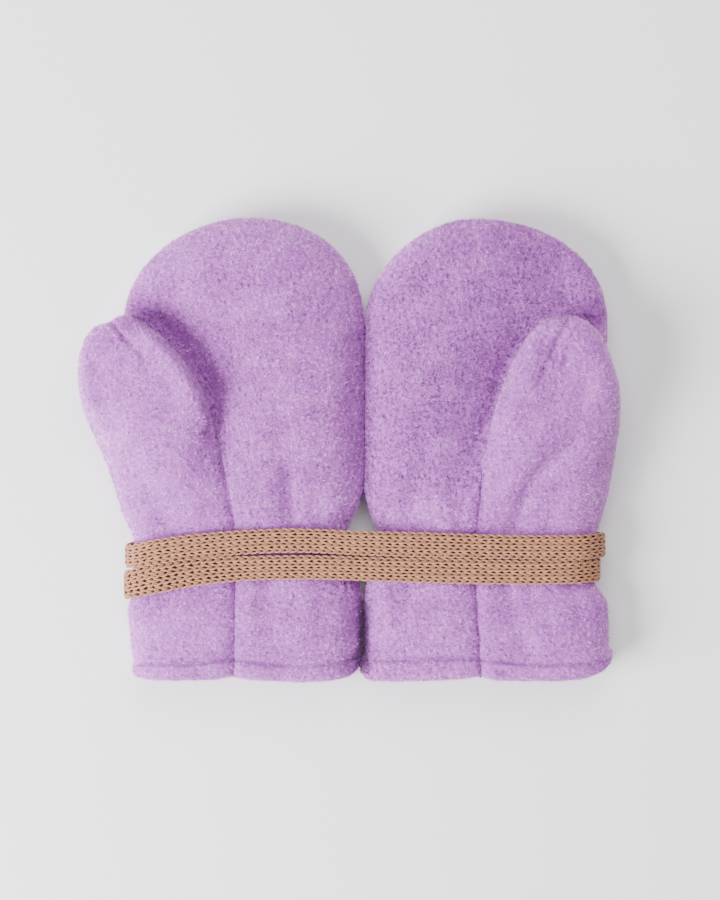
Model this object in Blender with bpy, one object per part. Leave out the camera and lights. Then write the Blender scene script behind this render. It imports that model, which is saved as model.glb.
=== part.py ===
"""A pair of baby mittens in boiled wool, laid flat with the palms up, and the flat knitted cord round both.

Each mitten is cut from three panels: the back of the hand, the palm, which folds over at the root of the
thumb and goes on as the thumb's underside, and the thumb front, which also covers the outer side of the palm.
The panels are walls of cloth, and their hems are turned in once. Sizes are in millimetres up to place_panel,
which makes metres. +X is to the right, +Y towards the fingertips, +Z up, and the mittens rest on Z = 0.
"""

import math

import bmesh
import bpy
import numpy as np

WALL = 2.2                # one layer of the wool
HEM_Y = -67.4             # the lower end of both mittens
HEM_DEPTH = 6.4           # the turned-in hem, where the wall is two layers
HEM_ROUND = 1.2           # how far the fold of the hem stands past its last section
CORNER_FADE = 20.0        # over which the rounding of the hem's corners dies out
SEAM_GAP = 0.4            # between two panels along a seam
FLAP_GAP = 0.6            # between the palm and the thumb folded over it

# The two ends of the fold under the thumb, where several seams meet.
PRESSED_WALL = 1.0        # the wool there
CROWD_REACH = 16.0        # how far from them it is back at its full thickness
CROTCH_SHORT = 1.2        # how far the palm is cut back at the thumb's crotch
SIDE_SHORT = 2.6          # and at the side seam

# How far in from its edges each surface reaches its full height or depth.
UNDER_ROUND = 9.0         # the underside of the hand
THUMB_ROUND = 12.0        # the thumb's front
FLAP_ROUND = 8.0          # the thumb's underside
FOLD_ROUND = 10.0         # the folds of the palm
THUMB_REACH = 24.0        # over which the thumb levels out from its outer to its inner seam

ROOT_Y = -24.0            # where the palm starts to rise towards the thumb
TIP_Y = 38.0              # where the straight sides of the hand end and its round tip starts
SIDE_COLUMNS = 6          # faces from a side seam to the palm seam
TIP_ANGLES = (15, 30, 44, 57, 69, 80, 90)

# The dent in the palm beside the thumb, which presses on it.
DENT_DEPTH = 4.4
DENT_WIDTH = 13.0
DENT_ROUND = 16.0
DENT_FROM_THUMB = 5.0
DENT_FULL_Y = 22.0
DENT_ENDS_Y = (36.0, 58.0)

CORD_WIDTH = 6.8
CORD_THICKNESS = 2.2
CORD_SIDES = 10
CORD_SQUARE = 0.8         # 1 is a plain ellipse, less is squarer

WOOL = ("boiled_wool", (0.52, 0.33, 0.60, 1.0), 0.95)
KNIT = ("knitted_cord", (0.52, 0.34, 0.25, 1.0), 0.85)

HAND_COLUMNS = ("y", "outer", "seam", "inner", "crown", "under", "edge", "round")
THUMB_COLUMNS = ("inner_x", "inner_y", "outer_x", "outer_y", "inner_z", "outer_z", "rise", "under")
FOLD_COLUMNS = ("x0", "y0", "x1", "y1", "width", "depth")

# Sections of the hand, from the hem to the round tip. outer, seam and inner are the x of the side seam under
# the thumb, of the palm seam and of the side seam next to the other mitten. crown, under and edge are the
# heights of the palm, the underside and the side seams. round is how far in from the sides the palm is level.
LEFT_HAND = [
    (-66.2, -62.6, -33.4, 3.4, 15.2, 0.0, 7.8, 12.0),
    (-63.2, -63.1, -33.3, 3.8, 15.8, 0.0, 7.9, 12.0),
    (-61.2, -63.3, -33.2, 3.9, 15.8, 0.0, 8.0, 12.0),
    (-60.8, -63.3, -33.2, 3.9, 15.8, 0.0, 8.0, 12.0),
    (-56.0, -63.7, -33.2, 4.0, 15.9, 0.0, 8.0, 14.0),
    (-50.0, -64.1, -33.2, 4.0, 15.9, 0.0, 8.0, 15.0),
    (-45.4, -64.9, -33.2, 3.8, 15.4, 1.4, 8.2, 13.0),
    (-42.9, -63.1, -33.1, 3.4, 14.4, 2.9, 8.5, 12.0),
    (-39.0, -62.8, -33.0, 2.7, 14.2, 2.9, 8.5, 12.0),
    (-34.0, -62.4, -32.9, 0.2, 14.1, 2.9, 8.5, 12.0),
    (-29.0, -62.5, -32.9, -1.8, 14.1, 2.9, 8.5, 12.0),
    (-25.0, -62.6, -33.0, -1.8, 14.3, 2.9, 8.5, 12.5),
    (-21.5, -64.8, -33.2, -0.1, 15.2, 2.0, 8.4, 15.0),
    (-17.0, -66.6, -33.8, 2.0, 16.1, 0.6, 8.2, 20.0),
    (-12.0, -68.1, -34.6, 3.5, 16.8, 0.0, 8.2, 23.0),
    (-7.0, -69.6, -35.8, 4.0, 17.2, 0.0, 8.2, 24.0),
    (-2.0, -71.4, -37.1, 4.0, 17.5, 0.0, 8.2, 24.0),
    (3.0, -73.8, -38.0, 4.0, 17.7, 0.0, 8.2, 24.0),
    (9.0, -70.2, -37.4, 4.0, 17.9, 0.0, 8.3, 24.0),
    (15.0, -67.6, -36.0, 4.0, 18.0, 0.0, 8.4, 24.0),
    (21.0, -66.6, -34.2, 4.0, 18.0, 0.0, 8.5, 24.0),
    (27.0, -66.2, -32.4, 4.0, 18.0, 0.0, 8.5, 24.0),
    (33.0, -66.0, -30.6, 4.0, 18.0, 0.0, 8.5, 24.0),
    (38.0, -66.0, -29.5, 4.0, 18.0, 0.0, 8.5, 24.0),
]
RIGHT_HAND = [
    (-66.2, 76.0, 38.0, 4.6, 15.2, 0.0, 7.8, 12.0),
    (-63.2, 76.2, 37.8, 4.5, 15.8, 0.0, 7.9, 12.0),
    (-61.2, 76.3, 37.5, 4.5, 15.9, 0.0, 8.0, 12.0),
    (-60.8, 76.3, 37.5, 4.5, 15.9, 0.0, 8.0, 12.0),
    (-56.0, 75.4, 37.2, 4.5, 15.9, 0.0, 8.0, 14.0),
    (-50.0, 75.3, 36.8, 4.5, 15.9, 0.0, 8.0, 15.0),
    (-45.4, 75.2, 36.6, 4.5, 15.4, 1.4, 8.2, 13.0),
    (-42.9, 74.7, 36.4, 4.6, 14.4, 2.9, 8.5, 12.0),
    (-38.4, 70.5, 36.4, 5.0, 14.2, 2.9, 8.5, 12.0),
    (-34.0, 70.1, 36.2, 6.6, 14.1, 2.9, 8.5, 12.0),
    (-29.0, 71.2, 36.1, 8.4, 14.1, 2.9, 8.5, 12.0),
    (-25.0, 71.5, 36.1, 8.5, 14.3, 2.9, 8.5, 12.5),
    (-21.5, 72.6, 36.4, 7.4, 15.2, 2.0, 8.4, 15.0),
    (-17.0, 74.1, 37.1, 5.5, 16.1, 0.6, 8.2, 20.0),
    (-12.0, 75.3, 37.7, 4.7, 16.8, 0.0, 8.2, 23.0),
    (-7.0, 76.2, 38.0, 4.6, 17.2, 0.0, 8.2, 24.0),
    (-3.5, 76.8, 38.2, 4.6, 17.4, 0.0, 8.2, 24.0),
    (0.0, 77.4, 38.6, 4.6, 17.6, 0.0, 8.2, 24.0),
    (6.0, 75.6, 39.0, 4.6, 17.8, 0.0, 8.3, 24.0),
    (13.0, 74.2, 38.8, 4.6, 18.0, 0.0, 8.4, 24.0),
    (20.0, 74.0, 38.2, 4.6, 18.0, 0.0, 8.5, 24.0),
    (26.5, 74.4, 37.4, 4.6, 18.0, 0.0, 8.5, 24.0),
    (32.5, 74.9, 36.6, 4.6, 18.0, 0.0, 8.5, 24.0),
    (38.0, 75.1, 36.0, 4.6, 18.0, 0.0, 8.5, 24.0),
]

# Sections of the thumb, from the fold at its root to its tip, where both ends are one point.
LEFT_THUMB = [
    (-38.0, 3.0, -73.8, 3.0, 17.7, 8.2, 5.4, 4.6),
    (-39.2, 8.1, -76.1, 8.6, 17.5, 11.0, 6.2, 5.0),
    (-40.5, 13.4, -77.6, 14.2, 17.4, 13.2, 6.8, 5.2),
    (-42.7, 18.6, -78.4, 19.4, 17.4, 14.6, 7.0, 5.2),
    (-45.8, 23.6, -78.2, 24.4, 17.6, 15.4, 7.0, 5.2),
    (-49.3, 28.0, -77.4, 28.9, 17.8, 16.0, 6.8, 5.0),
    (-52.8, 31.8, -75.9, 32.6, 17.8, 16.4, 6.4, 4.8),
    (-56.5, 34.8, -73.4, 35.6, 17.6, 16.6, 6.0, 4.6),
    (-60.3, 37.6, -69.9, 37.9, 17.4, 16.8, 5.8, 4.4),
    (-64.8, 39.2, -64.8, 39.2, 17.2, 17.2, 5.6, 4.2),
]
RIGHT_THUMB = [
    (38.6, 0.0, 77.4, 0.0, 17.6, 8.2, 5.2, 4.6),
    (39.8, 5.0, 78.1, 5.6, 17.4, 10.6, 6.0, 5.0),
    (41.5, 11.0, 78.4, 11.6, 17.2, 12.8, 6.6, 5.2),
    (43.5, 17.8, 78.1, 18.0, 17.0, 14.2, 6.8, 5.2),
    (46.0, 24.0, 76.3, 24.0, 17.0, 15.0, 6.8, 5.2),
    (48.8, 29.0, 74.5, 28.6, 17.0, 15.6, 6.6, 5.0),
    (51.4, 33.0, 72.7, 32.7, 17.0, 16.0, 6.2, 4.8),
    (54.3, 36.1, 70.0, 35.9, 16.8, 16.2, 5.8, 4.6),
    (57.6, 38.1, 66.2, 38.1, 16.7, 16.4, 5.6, 4.4),
    (61.8, 38.9, 61.8, 38.9, 16.6, 16.6, 5.4, 4.2),
]

# The largest folds of each palm: a soft trough from one end to the other, its width and its depth.
LEFT_FOLDS = [
    (-14.5, 4.0, -13.5, -22.0, 7.0, 1.0),
    (-47.0, -12.0, -50.0, -24.0, 7.0, 1.2),
]
RIGHT_FOLDS = [
    (63.0, 1.0, 49.0, -22.0, 8.0, 2.2),
    (22.0, -6.0, 21.0, -23.0, 7.0, 0.9),
]

# The round tips: the x of the tip's top, its height over TIP_Y, and how square its two halves are.
LEFT_TIP = {"x": -29.5, "height": 29.4, "outer_square": 1.92, "inner_square": 2.22}
RIGHT_TIP = {"x": 36.0, "height": 29.2, "outer_square": 2.12, "inner_square": 1.85}

# How far the lower corners of the hems are rounded, at the outer and at the inner side.
LEFT_CORNERS = {"outer": 2.6, "inner": 4.0}
RIGHT_CORNERS = {"outer": 8.0, "inner": 2.0}

# The middle line of the cord, from where it is sewn to the left wrist to where it is sewn to the right one.
CORD_ROUTE = [
    (-33.0, -26.6, 1.5), (-45.0, -27.4, 1.5), (-55.5, -28.8, 1.7), (-61.2, -29.6, 3.9),
    (-64.1, -30.0, 8.4), (-62.3, -30.0, 12.7), (-56.0, -29.6, 15.3), (-44.0, -28.1, 15.9),
    (-28.0, -26.5, 15.9), (-13.0, -26.1, 15.9), (3.5, -26.8, 15.9), (22.0, -27.3, 15.9),
    (45.0, -27.9, 15.9), (64.5, -28.0, 15.3), (71.2, -27.6, 12.7), (73.1, -27.4, 8.4),
    (70.2, -27.5, 3.9), (64.0, -27.9, 1.7), (46.0, -29.3, 1.5), (25.0, -31.2, 1.5),
    (2.0, -33.2, 1.5), (-20.0, -35.4, 1.5), (-42.0, -37.7, 1.5), (-55.5, -38.9, 1.7),
    (-61.4, -39.2, 3.9), (-64.4, -39.2, 8.4), (-62.6, -38.8, 12.7), (-56.0, -37.5, 15.3),
    (-44.0, -35.5, 15.9), (-28.0, -34.1, 15.9), (-10.0, -33.8, 15.9), (8.0, -34.3, 15.9),
    (28.0, -34.8, 15.9), (50.0, -35.2, 15.9), (63.2, -35.0, 15.3), (69.8, -34.6, 12.7),
    (71.7, -34.5, 8.4), (68.8, -34.8, 3.9), (62.0, -35.8, 1.7), (37.0, -38.9, 1.5),
]


def column(table, names, name):
    return np.array([row[names.index(name)] for row in table], float)


def smooth(at, known_at, known):
    """A smooth curve through known values that never overshoots them (a monotone cubic)."""
    at = np.clip(np.asarray(at, float), known_at[0], known_at[-1])
    step = np.diff(known_at)
    slope = np.diff(known) / step
    tangent = np.zeros(len(known))
    tangent[0], tangent[-1] = slope[0], slope[-1]
    same_way = slope[:-1] * slope[1:] > 0
    between = 2 * slope[:-1] * slope[1:] / np.where(same_way, slope[:-1] + slope[1:], 1.0)
    tangent[1:-1] = np.where(same_way, between, 0.0)
    k = np.clip(np.searchsorted(known_at, at, side="right") - 1, 0, len(step) - 1)
    u = (at - known_at[k]) / step[k]
    rise = u * u * (3 - 2 * u)
    leave = (u - 2 * u * u + u**3) * step[k] * tangent[k]
    arrive = (u**3 - u * u) * step[k] * tangent[k + 1]
    return known[k] + rise * (known[k + 1] - known[k]) + leave + arrive


def through(points, per_span):
    """Points on a smooth curve through the given ones: a Catmull-Rom spline."""
    points = np.asarray(points, float)
    ends = np.vstack([2 * points[0] - points[1], points, 2 * points[-1] - points[-2]])
    made = []
    for a, b, c, d in zip(ends, ends[1:], ends[2:], ends[3:]):
        for u in np.arange(per_span) / per_span:
            bend, twist = 2 * a - 5 * b + 4 * c - d, 3 * b - a - 3 * c + d
            made.append(b + 0.5 * ((c - a) * u + bend * u**2 + twist * u**3))
    return np.array(made + [points[-1]])


def bulge(distance, reach):
    """0 at an edge, rising as a quarter of an ellipse to 1 at reach from it."""
    u = np.clip(distance / reach, 0, 1)
    return np.sqrt(1 - (1 - u) ** 2)


def step_up(at, low, high):
    u = np.clip((at - low) / (high - low), 0, 1)
    return u * u * (3 - 2 * u)


def distance_to(line, x, y):
    """How far each point of the plan is from a line of many short pieces."""
    point = np.stack([x, y], -1)[..., None, :]
    start, along = line[:-1], np.diff(line, axis=0)
    share = np.clip(((point - start) * along).sum(-1) / (along**2).sum(-1), 0, 1)
    return np.linalg.norm(point - start - share[..., None] * along, axis=-1).min(-1)


class Mitten:
    """The form of one mitten: its outlines in plan, and the height of each of its surfaces over the plan."""

    def __init__(self, side, hand, thumb, folds, tip, corners):
        self.side, self.hand, self.thumb, self.folds = side, hand, thumb, folds
        self.tip, self.corners = tip, corners
        self.rows = column(hand, HAND_COLUMNS, "y")
        self.fold_y = thumb[0][THUMB_COLUMNS.index("inner_y")]
        self.out = np.sign(self.across("outer", 0.0) - self.across("inner", 0.0))
        self.sides = {which: self.side_line(which) for which in ("outer", "inner")}
        self.outline = np.vstack([self.sides["outer"], self.sides["inner"][::-1]])
        self.measure_thumb()

    def across(self, name, y):
        return smooth(y, self.rows, column(self.hand, HAND_COLUMNS, name))

    def tip_half(self, which, angle):
        """The round tip's outline on one side, at an angle from its widest place to its top."""
        square = 2 / self.tip[which + "_square"]
        start = self.across(which, TIP_Y)
        x = self.tip["x"] + (start - self.tip["x"]) * np.maximum(np.cos(angle), 0) ** square
        return x, TIP_Y + self.tip["height"] * np.sin(angle) ** square

    def side_line(self, which):
        y = np.arange(HEM_Y, TIP_Y, 1.0)
        straight = np.stack([self.across(which, y), y], -1)
        angle = np.radians(np.linspace(0, 90, 46))
        return np.vstack([straight, np.stack(self.tip_half(which, angle), -1)])

    def measure_thumb(self):
        inner = [row[0:2] for row in self.thumb]
        outer = [row[2:4] for row in self.thumb]
        line = through(inner + outer[-2::-1], 8)
        middle = len(line) // 2
        self.thumb_inner, self.thumb_outer = line[: middle + 1], line[middle:][::-1]
        below = np.arange(HEM_Y, self.fold_y, 1.0)
        seam = np.stack([self.across("seam", below), below], -1)
        side = np.stack([self.across("outer", below), below], -1)
        self.panel_inner = np.vstack([seam, self.thumb_inner])
        self.panel_outer = np.vstack([side, self.thumb_outer])

    def thumb_value(self, name, y):
        at = column(self.thumb, THUMB_COLUMNS, "outer_y" if name == "outer_z" else "inner_y")
        return smooth(y, at, column(self.thumb, THUMB_COLUMNS, name))

    def fold_depth(self, x, y):
        depth = np.zeros(np.shape(x))
        for fold in self.folds:
            x0, y0, x1, y1, width, deepest = (fold[FOLD_COLUMNS.index(name)] for name in FOLD_COLUMNS)
            away = distance_to(np.array([(x0, y0), (x1, y1)]), x, y)
            depth = depth + deepest * np.exp(-((away / (width / 2)) ** 2))
        return depth

    def dent(self, x, y):
        middle = self.line_x(self.thumb_inner, y) + DENT_FROM_THUMB * self.out
        starts, ends = step_up(y, self.fold_y, DENT_FULL_Y), 1 - step_up(y, *DENT_ENDS_Y)
        return DENT_DEPTH * np.exp(-(((x - middle) / DENT_WIDTH) ** 2)) * starts * ends

    def palm_height(self, x, y):
        edge, crown = self.across("edge", y), self.across("crown", y)
        near = distance_to(self.outline, x, y)
        height = edge + (crown - edge) * bulge(near, self.across("round", y))
        height = height - self.fold_depth(x, y) * bulge(near, FOLD_ROUND)
        height = height - self.dent(x, y) * bulge(near, DENT_ROUND)
        under_thumb = self.flap_height(x, y) - FLAP_GAP
        covered = (y >= self.fold_y) & self.under_thumb(x, y)
        return np.where(covered, np.minimum(height, under_thumb), height)

    def under_height(self, x, y):
        edge, under = self.across("edge", y), self.across("under", y)
        return edge + (under - edge) * bulge(distance_to(self.outline, x, y), UNDER_ROUND)

    @staticmethod
    def line_x(line, y):
        return np.interp(y, line[:, 1], line[:, 0])

    def under_thumb(self, x, y):
        inside = (x - self.line_x(self.thumb_inner, y)) * self.out
        beyond = (self.line_x(self.thumb_outer, y) - x) * self.out
        return (inside >= -1e-6) & (beyond >= -1e-6) & (y <= self.thumb_inner[-1, 1])

    def flap_height(self, x, y):
        from_inner, from_outer = distance_to(self.thumb_inner, x, y), distance_to(self.thumb_outer, x, y)
        inner, outer = self.thumb_value("inner_z", y), self.thumb_value("outer_z", y)
        level = outer + (inner - outer) * bulge(from_outer, THUMB_REACH)
        return level - self.thumb_value("under", y) * bulge(np.minimum(from_inner, from_outer), FLAP_ROUND)

    def front_height(self, x, y):
        """The thumb front and the outer side of the palm, in one surface."""
        above = y > self.fold_y
        inner = np.where(above, self.thumb_value("inner_z", y), self.across("crown", y))
        outer = np.where(above, self.thumb_value("outer_z", y), self.across("edge", y))
        reach = np.where(above, THUMB_REACH, self.across("round", y))
        from_outer = distance_to(self.panel_outer, x, y)
        from_inner = distance_to(self.panel_inner, x, y)
        rise = self.thumb_value("rise", y) * step_up(y, ROOT_Y, self.fold_y)
        height = outer + (inner - outer) * bulge(from_outer, reach)
        crown = bulge(np.minimum(from_inner, from_outer), THUMB_ROUND)
        return height + (rise - self.fold_depth(x, y)) * crown


def edge_share(columns):
    """Places from an edge, where they are close together, to the middle of a panel."""
    return 1 - np.cos(np.linspace(0, math.pi / 2, columns + 1))


class Form:
    """The mitten's outer surface as one mesh, so that neighbours share their seam's points and normals."""

    def __init__(self):
        self.points, self.index, self.faces, self.hem = [], {}, [], set()
        self.crowded = None

    def point(self, place):
        key = tuple(round(float(c), 3) for c in place)
        if key not in self.index:
            self.index[key] = len(self.points)
            self.points.append(place)
        return self.index[key]

    def grid(self, panel, rows, hem=False):
        """Quads between the rows of points, facing up where the rows run towards +X and go on towards +Y."""
        names = [[self.point(place) for place in row] for row in rows]
        if hem:
            self.hem.update(names[0])
        for low, high in zip(names, names[1:]):
            for a, b, c, d in zip(low, low[1:], high[1:], high):
                corners = list(dict.fromkeys((a, b, c, d)))
                if len(corners) > 2:
                    self.faces.append((panel, corners))

    def normals(self):
        points = np.array(self.points)
        total = np.zeros(points.shape)
        for _, corners in self.faces:
            ring = points[corners]
            area = sum(np.cross(ring[k] - ring[0], ring[k + 1] - ring[0]) for k in range(1, len(ring) - 1))
            total[corners] += area
        return total / np.linalg.norm(total, axis=1)[:, None]


def hand_plan(mitten):
    """Rows of plan points over the whole hand: inner side, palm seam, outer side."""
    to_seam = edge_share(SIDE_COLUMNS)
    rows = []
    for y in mitten.rows:
        row = []
        fade = np.clip(1 - (y - mitten.rows[0]) / CORNER_FADE, 0, 1)
        for which, shares in (("inner", to_seam), ("outer", to_seam[::-1][1:])):
            corner = mitten.corners[which]
            end_y = y + corner * fade
            edge, seam = mitten.across(which, end_y), mitten.across("seam", y)
            for share in shares:
                x = edge + (seam - edge) * share
                into = np.clip(1 - abs(x - edge) / max(corner, 0.01), 0, 1)
                lift = corner * (1 - math.sqrt(1 - into**2))
                row.append((x, y + lift * fade))
        rows.append(row)
    for angle in np.radians(TIP_ANGLES):
        row = []
        for which, shares in (("inner", to_seam), ("outer", to_seam[::-1][1:])):
            x, y = mitten.tip_half(which, angle)
            middle_y = 0.5 * (mitten.tip_half("inner", angle)[1] + mitten.tip_half("outer", angle)[1])
            row += [(x + (mitten.tip["x"] - x) * share, y + (middle_y - y) * share) for share in shares]
        rows.append(row)
    return np.array(rows)


def thumb_plan(mitten, columns, start_shares):
    """Rows of plan points over the thumb, from its fold to its tip, inner edge to outer edge."""
    both_edges = (1 - np.cos(np.linspace(0, math.pi, columns + 1))) / 2
    rows = []
    for k, row in enumerate(mitten.thumb):
        even = min(k / 2, 1)
        shares = (1 - even) * start_shares + even * both_edges
        inner, outer = np.array(row[0:2]), np.array(row[2:4])
        rows.append(inner + shares[:, None] * (outer - inner))
    return np.array(rows)


def with_height(plan, height):
    z = height(plan[..., 0], plan[..., 1])
    return np.concatenate([plan, z[..., None]], -1)


def make_form(mitten):
    form = Form()
    plan = hand_plan(mitten)
    fold = int(np.argmin(abs(mitten.rows - mitten.fold_y)))
    seam = SIDE_COLUMNS
    palm = with_height(plan, mitten.palm_height)
    under = with_height(plan, mitten.under_height)
    edge = mitten.across("edge", plan[..., 1])
    for surface in (palm, under):
        surface[:, [0, -1], 2] = edge[:, [0, -1]]
        surface[-1, :, 2] = edge[-1, 0]
        surface[-1, :, :2] = plan[-1, 0]

    # The thumb front goes on from the outer side of the palm.
    below = plan[: fold + 1, seam:]
    start = 1 - edge_share(SIDE_COLUMNS)[::-1]
    above = thumb_plan(mitten, SIDE_COLUMNS, start)
    front = with_height(np.vstack([below, above[1:]]), mitten.front_height)
    front[: fold + 1, 0] = palm[: fold + 1, seam]
    front[: fold + 1, -1] = palm[: fold + 1, -1]
    flap = with_height(above, mitten.flap_height)
    for surface in (front[fold + 1 :], flap[1:]):
        surface[:, 0, 2] = column(mitten.thumb[1:], THUMB_COLUMNS, "inner_z")
        surface[:, -1, 2] = column(mitten.thumb[1:], THUMB_COLUMNS, "outer_z")
        surface[-1, :, 2] = surface[-1, 0, 2]

    # The fold at the root of the thumb: the palm, the turn of the cloth, and the thumb's underside.
    flap[0] = palm[fold, seam:]
    flap[0, 1:-1, 2] += FLAP_GAP
    turn = 0.5 * (flap[0] + palm[fold, seam:])
    turn[1:-1, 1] -= 0.5 * FLAP_GAP

    form.crowded = palm[fold, [seam, -1]]
    up = -int(mitten.out)
    form.grid("back", under[:, ::up], hem=True)
    form.grid("palm", palm[:, : seam + 1][:, ::-up], hem=True)
    form.grid("palm", palm[fold:, seam:][:, ::-up])
    form.grid("palm", np.array([flap[0], turn, palm[fold, seam:]])[:, ::-up])
    form.grid("palm", flap[:, ::up])
    form.grid("thumb_front", front[:, ::-up], hem=True)
    return form


def near_fold_ends(place, crowded):
    """How near a place is to each end of the fold under the thumb: 1 there and 0 far away."""
    return np.maximum(1 - np.linalg.norm(crowded - place, axis=1) / CROWD_REACH, 0)


def wall_at(place, crowded):
    """Two layers in the hem and one elsewhere, pressed thin at the ends of the fold."""
    if place[1] < HEM_Y + HEM_DEPTH:
        return 2 * WALL
    return WALL - (WALL - PRESSED_WALL) * near_fold_ends(place, crowded).max()


def cut_back(place, crowded):
    """How far the palm is cut back from the outer end of its fold, towards the other end."""
    along = (crowded[0] - crowded[1]) / np.linalg.norm(crowded[0] - crowded[1])
    return SIDE_SHORT * near_fold_ends(place, crowded)[1] ** 2 * along


def panel_mesh(form, panel):
    """The panel's part of the form as a closed wall: its outer face, inner face and the cut edges between."""
    points, normals = np.array(form.points), form.normals()
    faces = [corners for name, corners in form.faces if name == panel]
    edges = {}
    for corners in faces:
        for a, b in zip(corners, corners[1:] + corners[:1]):
            edges.setdefault(frozenset((a, b)), []).append((a, b))
    cut = [found[0] for found in edges.values() if len(found) == 1]
    pull = {}
    for a, b in cut:
        if a in form.hem and b in form.hem:
            continue
        across = np.cross(normals[a] + normals[b], points[b] - points[a])
        across /= np.linalg.norm(across)
        for end in (a, b):
            pull.setdefault(end, []).append(across)
    moved = points.copy()
    for end, ways in pull.items():
        way = np.mean(ways, axis=0)
        short = SEAM_GAP / 2
        if panel == "palm":
            short += CROTCH_SHORT * near_fold_ends(points[end], form.crowded)[0] ** 2
        moved[end] += short * way / np.linalg.norm(way)
    if panel == "palm":
        moved += [cut_back(place, form.crowded) for place in points]

    mesh = bmesh.new()
    outer, inner, hem = {}, {}, {}
    for corners in faces:
        for k in corners:
            if k not in outer:
                outer[k] = mesh.verts.new(moved[k])
                inner[k] = mesh.verts.new(moved[k] - wall_at(points[k], form.crowded) * normals[k])
        mesh.faces.new([outer[k] for k in corners])
        mesh.faces.new([inner[k] for k in reversed(corners)])
    down = np.array([0, -HEM_ROUND, 0])
    for k in form.hem & set(outer):
        start, end = np.array(outer[k].co), np.array(inner[k].co)
        hem[k] = [mesh.verts.new(start + share * (end - start) + down) for share in (0.25, 0.75)]
    for a, b in cut:
        if a in form.hem and b in form.hem:
            ring_a, ring_b = [outer[a], *hem[a], inner[a]], [outer[b], *hem[b], inner[b]]
            for low, high, next_low, next_high in zip(ring_a, ring_a[1:], ring_b, ring_b[1:]):
                mesh.faces.new((low, high, next_high, next_low))
        else:
            rim = [outer[a]] + hem.get(a, []) + [inner[a], inner[b]] + hem.get(b, [])[::-1] + [outer[b]]
            mesh.faces.new(rim)
    bmesh.ops.recalc_face_normals(mesh, faces=mesh.faces)
    bmesh.ops.triangulate(mesh, faces=[face for face in mesh.faces if len(face.verts) > 4])
    return mesh


def material(name, colour, roughness):
    made = bpy.data.materials.new(name)
    made.use_nodes = True
    shader = made.node_tree.nodes["Principled BSDF"]
    shader.inputs["Base Color"].default_value = colour
    shader.inputs["Roughness"].default_value = roughness
    shader.inputs["Metallic"].default_value = 0.0
    return made


def place_panel(name, mesh, finish):
    bmesh.ops.scale(mesh, vec=(0.001, 0.001, 0.001), verts=mesh.verts)
    data = bpy.data.meshes.new(name)
    mesh.to_mesh(data)
    mesh.free()
    data.shade_smooth()
    data.set_sharp_from_angle(angle=math.radians(50))
    data.materials.append(finish)
    made = bpy.data.objects.new(name, data)
    bpy.context.scene.collection.objects.link(made)


def cord_mesh():
    """A flat strap of rounded section along the route, its width lying across the way that it runs."""
    route = through(CORD_ROUTE, 2)
    ahead = np.gradient(route, axis=0)
    ahead /= np.linalg.norm(ahead, axis=1)[:, None]
    across = np.array([0, 1, 0]) - ahead * ahead[:, 1:2]
    across /= np.linalg.norm(across, axis=1)[:, None]
    outward = np.cross(across, ahead)
    turn = np.linspace(0, 2 * math.pi, CORD_SIDES, endpoint=False)
    wide, thick = (np.sign(f(turn)) * np.abs(f(turn)) ** CORD_SQUARE for f in (np.cos, np.sin))
    mesh = bmesh.new()
    rings = []
    for place, side, out in zip(route, across, outward):
        ring = place + 0.5 * (CORD_WIDTH * wide[:, None] * side + CORD_THICKNESS * thick[:, None] * out)
        rings.append([mesh.verts.new(point) for point in ring])
    for ring, after in zip(rings, rings[1:]):
        for k in range(CORD_SIDES):
            next_k = (k + 1) % CORD_SIDES
            mesh.faces.new((ring[k], ring[next_k], after[next_k], after[k]))
    mesh.faces.new(rings[0])
    mesh.faces.new(rings[-1][::-1])
    bmesh.ops.recalc_face_normals(mesh, faces=mesh.faces)
    return mesh


def main():
    for thing in list(bpy.data.objects):
        bpy.data.objects.remove(thing)
    wool, knit = material(*WOOL), material(*KNIT)
    mittens = [
        Mitten("left", LEFT_HAND, LEFT_THUMB, LEFT_FOLDS, LEFT_TIP, LEFT_CORNERS),
        Mitten("right", RIGHT_HAND, RIGHT_THUMB, RIGHT_FOLDS, RIGHT_TIP, RIGHT_CORNERS),
    ]
    for mitten in mittens:
        form = make_form(mitten)
        for panel in ("back", "palm", "thumb_front"):
            place_panel(f"{mitten.side}_{panel}", panel_mesh(form, panel), wool)
    place_panel("cord", cord_mesh(), knit)


main()
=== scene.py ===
# %% [markdown]
# # A pair of baby mittens in boiled wool
#
# The pair lies flat with the palms up, and a flat knitted cord is wound twice round both wrists. This
# lesson dresses a plain frame: solids at the real size, one for each panel that a maker would cut. Each
# panel becomes a soft shell of cloth with creases, a nap of fine fibres is set on it, and the cord is
# knitted stitch by stitch.

import bpy
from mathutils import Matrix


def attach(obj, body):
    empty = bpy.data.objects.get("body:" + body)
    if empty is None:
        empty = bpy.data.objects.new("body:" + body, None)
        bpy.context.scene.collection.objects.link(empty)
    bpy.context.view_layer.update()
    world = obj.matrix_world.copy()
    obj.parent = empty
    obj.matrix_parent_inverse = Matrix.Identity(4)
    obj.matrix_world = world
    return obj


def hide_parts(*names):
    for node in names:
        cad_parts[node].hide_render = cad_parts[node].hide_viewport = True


for startup in ("Cube", "Light", "Camera"):
    if startup in bpy.data.objects:
        bpy.data.objects.remove(bpy.data.objects[startup])

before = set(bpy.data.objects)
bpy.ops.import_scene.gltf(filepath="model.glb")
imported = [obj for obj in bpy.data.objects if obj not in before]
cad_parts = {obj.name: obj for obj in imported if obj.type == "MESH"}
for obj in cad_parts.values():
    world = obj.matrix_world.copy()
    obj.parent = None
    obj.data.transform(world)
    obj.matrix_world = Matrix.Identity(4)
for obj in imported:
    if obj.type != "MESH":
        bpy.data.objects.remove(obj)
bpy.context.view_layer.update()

import math

import bmesh
import numpy as np
from mathutils import Vector
from mathutils.bvhtree import BVHTree

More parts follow.
